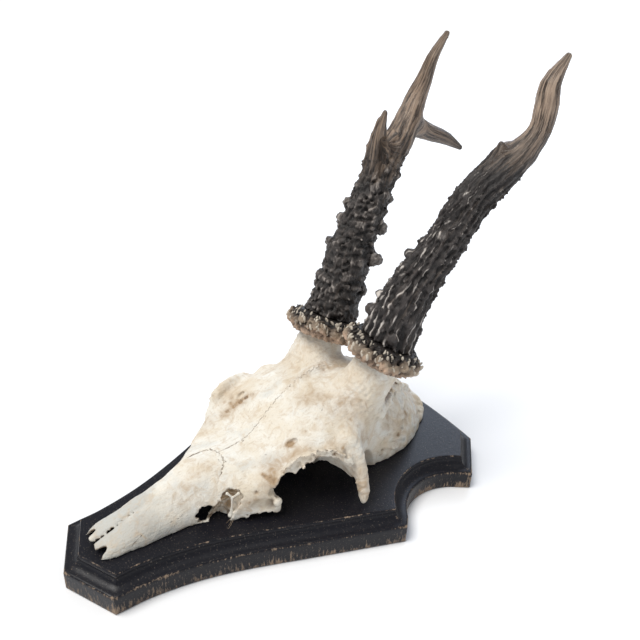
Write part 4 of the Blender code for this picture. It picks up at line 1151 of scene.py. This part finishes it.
# Antlers: bone that has lost its skin, left rough. The left beam is ridged and furrowed along its
# length, the right one thickly pearled; both are dark below and smooth and brown towards the tips.
BEAM_PATH = ((19.6, 45.0, 68.0), (20.6, 49.6, 76.0), (21.0, 53.5, 90.0), (23.2, 62.0, 110.0),
             (27.0, 75.0, 130.0), (30.0, 86.4, 150.0), (32.6, 98.5, 161.0), (36.4, 108.6, 171.0))
BEAM_RADII = {1: (13.6, 13.4, 12.2, 10.4, 8.6, 8.4, 8.6, 6.6),
              -1: (14.2, 13.6, 12.0, 10.8, 9.2, 8.2, 7.6, 6.6)}
TOP_PATH = ((36.4, 108.6, 171.0), (38.8, 114.6, 180.0), (37.6, 118.2, 190.0), (36.0, 120.4, 200.0),
            (36.2, 128.9, 210.9))
WHOLE_PATH = BEAM_PATH + TOP_PATH[1:]
TOP_RADII = {1: (6.6, 5.2, 5.4, 4.6, 1.6), -1: (6.6, 5.6, 4.2, 3.1, 1.5)}
STUB_PATH = ((31.6, 97.0, 161.0), (31.2, 101.0, 168.0), (31.4, 103.6, 173.0))
STUB_RADII = (7.0, 5.4, 2.4)
FRONT_TINE_PATH = ((30.4, 84.2, 147.0), (30.2, 82.4, 157.0), (29.2, 81.4, 168.0), (28.6, 83.4, 177.4))
FRONT_TINE_RADII = (8.0, 6.0, 3.8, 1.1)
REAR_TINE_PATH = ((34.8, 107.0, 169.0), (35.0, 120.0, 163.0), (33.0, 134.0, 158.0), (30.8, 145.6, 151.6))
REAR_TINE_RADII = (6.2, 4.8, 3.6, 1.4)
LEFT_FORK = ((34.6, 103.6, 166.0), (0.30, 0.62, 0.72))
RIGHT_FORK = ((29.8, 87.0, 149.0), (0.16, 0.45, 0.88))
FRONT_TINE_ROOT = ((30.0, 88.6, 155.0), (0.10, 0.93, -0.36))
REAR_TINE_ROOT = ((35.5, 116.0, 165.5), (-0.02, 0.94, -0.34))
PEARLS = {1: 34, -1: 80}
PEARLS_UP_TO = 0.76
PEARL_SIZE = (1.7, 3.0)
BIG_PEARLS = {
    1: ((17.1, 63.7, 124.4, 2.7), (12.7, 51.5, 104.8, 2.3), (11.2, 47.9, 97.3, 3.0),
        (31.2, 61.5, 90.4, 1.8)),
    -1: ((14.0, 70.4, 108.2, 3.8), (12.4, 72.2, 107.6, 2.8), (18.0, 77.9, 121.8, 3.4),
         (34.2, 68.4, 132.4, 2.8), (33.0, 63.5, 126.0, 2.5), (31.5, 55.6, 115.1, 2.4),
         (12.3, 63.4, 92.5, 2.4), (21.2, 85.1, 135.3, 2.2), (23.2, 91.1, 146.5, 2.0)),
}
STUB_CORNER_PATH = ((32.4, 98.4, 169.0), (31.8, 98.6, 174.6))
STUB_CORNER_RADII = (3.4, 1.5)
CLEFT_PATH = ((25.6, 81.6, 164.0), (25.0, 80.8, 161.0), (24.4, 80.3, 155.6), (23.3, 79.5, 151.0),
              (22.5, 78.8, 147.0))
CLEFT_RADII = (2.8, 2.2, 1.7, 1.3, 0.8)
FURROWS = {1: 17, -1: 13}
RIDGE_HEIGHT = {1: 1.5, -1: 1.1}
LUMPS = {1: (0.26, 0.14), -1: (0.50, 0.24)}
ANTLER_STEP = 0.5
BEAM_LOOK = {
    # The left antler's brown towards its smooth tips is lighter than the right one's: partly its own
    # colour, partly a painted highlight.
    1: antler_material("ridged_antler", (0.010, 0.008, 0.0075), (0.052, 0.043, 0.040),
                       (0.60, 0.55, 0.50), 0.66, 1.45, (0.42, 0.31, 0.23)),
    -1: antler_material("pearled_antler", (0.010, 0.008, 0.0075), (0.055, 0.045, 0.040),
                        (0.46, 0.41, 0.37), 0.62, 1.45, (0.31, 0.22, 0.155)),
}
TINES = {1: ((STUB_PATH, STUB_RADII), (STUB_CORNER_PATH, STUB_CORNER_RADII)),
         -1: ((FRONT_TINE_PATH, FRONT_TINE_RADII), (REAR_TINE_PATH, REAR_TINE_RADII))}
SMALL_PEARLS = {1: (60, 0.4), -1: (260, 0.5)}       # how many, and how far up
SMALL_PEARL_SIZE = (0.6, 1.5)
WORN_SMOOTH = {1: (162.0, 34.0), -1: (141.0, 36.0)}     # from what height, and over what length
RUBBED = {1: (0.9, 1.25), -1: (1.3, 0.6)}           # most on the pearls, and along the ridges


def frame_along(path, radii, count):
    """Places along a path with its direction and two directions across it."""
    rows = curve_through(np.column_stack([np.asarray(path, float), radii]), count)
    along = np.gradient(rows[:, :3], axis=0)
    along /= np.linalg.norm(along, axis=1)[:, None]
    across_x = np.cross(along, (0.0, 1.0, 0.0) if abs(along[0, 1]) < 0.8 else (0.0, 0.0, 1.0))
    across_x /= np.linalg.norm(across_x, axis=1)[:, None]
    return rows, along, across_x, np.cross(along, across_x)


def turn_and_length(x, y, z, rails):
    """Angle round a path and length along it, in mm, of any places near it."""
    rows, along, across_x, across_y = rails
    near = np.full(x.shape, 1e6)
    turn, length = np.zeros(x.shape), np.zeros(x.shape)
    run = np.concatenate([[0.0], np.cumsum(np.linalg.norm(np.diff(rows[:, :3], axis=0), axis=1))])
    for i in range(len(rows)):
        dx, dy, dz = x - rows[i, 0], y - rows[i, 1], z - rows[i, 2]
        gap = dx * dx + dy * dy + dz * dz
        closer = gap < near
        near[closer] = gap[closer]
        dx, dy, dz = dx[closer], dy[closer], dz[closer]
        a = dx * across_x[i, 0] + dy * across_x[i, 1] + dz * across_x[i, 2]
        b = dx * across_y[i, 0] + dy * across_y[i, 1] + dz * across_y[i, 2]
        turn[closer] = np.arctan2(b, a)
        length[closer] = run[i] + dx * along[i, 0] + dy * along[i, 1] + dz * along[i, 2]
    return turn, length


def pearl_spots(side):
    """Seeded places on a beam's surface, thickest near its foot, with a size for each."""
    rng = np.random.default_rng(PEARL_SEED + side)
    rows = curve_through(np.column_stack([np.asarray(BEAM_PATH, float), BEAM_RADII[side]]), 60)
    spots = []
    for number in range(PEARLS[side]):
        share = PEARLS_UP_TO * ((number + rng.uniform(0.0, 1.0)) / PEARLS[side]) ** 1.1
        i = min(int(share * 58), 57)
        way = rows[i + 1, :3] - rows[i, :3]
        across = ways_across(way / np.linalg.norm(way))
        angle = number * GOLDEN_TURN + rng.uniform(-0.4, 0.4)
        size = rng.uniform(*PEARL_SIZE) * (1.1 - 0.35 * share)
        spots.append((*(rows[i, :3] + (rows[i, 3] - 0.35 * size) * spoke(angle, across)), size))
    return spots


def antler_forms(side):
    """The full form of an antler, drawn for the left side, and how pale it is rubbed."""
    rails = frame_along(WHOLE_PATH, BEAM_RADII[side] + TOP_RADII[side][1:], 44)
    rows, _, across_x, across_y = rails
    pearls = pearl_spots(side) + list(BIG_PEARLS[side])
    small = []
    rng = np.random.default_rng(90 + side)
    count, up_to = SMALL_PEARLS[side]
    for _ in range(count):
        i = int(rng.uniform(0.0, up_to) * 43)
        angle = rng.uniform(0, 2 * math.pi)
        spot = rows[i, :3] + (rows[i, 3] + 0.05) * spoke(angle, (across_x[i], across_y[i]))
        small.append((*spot, rng.uniform(*SMALL_PEARL_SIZE)))

    def base(x, y, z):
        body = tube(x, y, z, BEAM_PATH, BEAM_RADII[side], 18)
        body = smooth_min(body, tube(x, y, z, TOP_PATH, TOP_RADII[side], 12), 1.5)
        for path, radii in TINES[side]:
            body = smooth_min(body, tube(x, y, z, path, radii, 8), 2.0)
        return body

    def wander(x, y, z):
        return 1.1 * ripples(x, y, z, 61 + side, 16.0) + 0.6 * ripples(x, y, z, 63 + side, 7.0)

    def form(x, y, z):
        turn, length = turn_and_length(x, y, z, rails)
        sway = wander(x, y, z) + 0.02 * length
        crest = (1.0 - np.abs(np.sin(0.5 * (FURROWS[side] * turn + sway)))) ** 1.3
        between = (1.0 - np.abs(np.sin(0.5 * ((2 * FURROWS[side] + 5) * turn - 1.4 * sway)))) ** 1.3
        fade = np.clip((128.0 - length) / 34.0, 0.10, 1.0)
        if side < 0:
            fade = fade * np.clip((length - 30.0) / 40.0, 0.35, 1.0)
        body = base(x, y, z) - RIDGE_HEIGHT[side] * fade * (crest + 0.45 * between - 0.35)
        rough = np.clip((96.0 - length) / 18.0, 0.06, 1.0)
        body = body - rough * LUMPS[side][0] * ripples(x, y, z, 51 + side, 5.0)
        for group, soft in ((pearls, 1.3), (small, 0.5)):
            for pearl in group:
                body = smooth_min(body, ball(x, y, z, pearl, pearl[3]), soft)
        body = body - rough * LUMPS[side][1] * ripples(x, y, z, 53 + side, 2.2)
        if side < 0:
            body = smooth_max(body, -tube(x, y, z, CLEFT_PATH, CLEFT_RADII, 9), 0.6)
        return body

    def lift(x, y, z, turn):
        """How pale the surface is rubbed: most along broken ridge lines and on the pearls' heads."""
        crest = np.abs(np.sin(0.5 * (FURROWS[side] * turn + wander(x, y, z))))
        broken = np.clip(0.55 + 0.7 * ripples(x, y, z, 71 + side, 9.0), 0, 1)
        lines = np.clip(1.0 - crest / 0.36, 0, 1) * broken
        on_pearls, on_ridges = RUBBED[side]
        return 0.6 * np.clip(base(x, y, z), -1.0, on_pearls) + on_ridges * lines
    return form, lift


def beyond(point, normal):
    """Negative on the side of a plane that its normal points to."""
    n = np.array(normal, float) / np.linalg.norm(normal)
    return lambda x, y, z: -((x - point[0]) * n[0] + (y - point[1]) * n[1] + (z - point[2]) * n[2]) + 0.12


def build_antler(side, parts):
    """The pieces of one antler: name, node, slot, path, low and high corner, bounds, how much lower."""
    form, lift = antler_forms(side)
    rails = frame_along(WHOLE_PATH, [1.0] * len(WHOLE_PATH), 44)
    seat, axis = seat_of(side)
    foot = beyond(seat + (CORONET_TALL - 0.2) * axis, axis)
    for name, node, slot, path, low, high, bounds, under in parts:
        def piece_form(x, y, z):
            body = form(x, y, z) + under
            for bound in (foot, *bounds):
                body = np.maximum(body, bound(x, y, z))
            return body
        points, faces = skin(piece_form, low, high, ANTLER_STEP)
        turn, length = turn_and_length(*points.T, frame_along(path, [1.0] * len(path), 40))
        flow = np.column_stack([6.0 * np.cos(turn), 6.0 * np.sin(turn), 0.07 * length])
        worn_from, worn_over = WORN_SMOOTH[side]
        worn = np.clip((points[:, 2] - worn_from) / worn_over, 0.0, 1.0)
        height = lift(*points.T, turn_and_length(*points.T, rails)[0])
        marks = {"height": height, "tint": np.zeros(len(points)), "worn": worn, "flow": flow}
        points, faces = to_side(side, points, faces)
        fix(mesh_object(name, points, faces.tolist(), BEAM_LOOK[side], marks), slot, node)


FORK_OVERLAP = 0.9     # how far the lower piece runs on inside the upper one


def before(bound):
    """The near side of a fork, with the overlap."""
    return lambda x, y, z: -FORK_OVERLAP - bound(x, y, z)


left_fork, right_fork = beyond(*LEFT_FORK), beyond(*RIGHT_FORK)
front_root, rear_root = beyond(*FRONT_TINE_ROOT), beyond(*REAR_TINE_ROOT)
build_antler(1, (
    ("antler_beam_left", "beam_left", "antler_beam", WHOLE_PATH, (2, 28, 66), (50, 125, 190),
     (before(left_fork),), 0.04),
    ("antler_top_left", "top_left", "antler_tine", WHOLE_PATH, (20, 88, 150), (50, 135, 216),
     (left_fork,), 0.0),
))
build_antler(-1, (
    ("antler_beam_right", "beam_right", "antler_beam", WHOLE_PATH, (2, 28, 60), (50, 110, 175),
     (before(right_fork),), 0.04),
    ("front_point_right", "front_tine_right", "antler_tine", FRONT_TINE_PATH, (15, 65, 135), (45, 100, 182),
     (right_fork, before(front_root)), 0.0),
    ("main_point_right", "main_tine_right", "antler_tine", WHOLE_PATH, (20, 70, 135), (50, 135, 216),
     (right_fork, front_root, before(rear_root)), 0.04),
    ("rear_point_right", "rear_tine_right", "antler_tine", REAR_TINE_PATH, (20, 100, 140), (50, 152, 180),
     (right_fork, rear_root), 0.0),
))
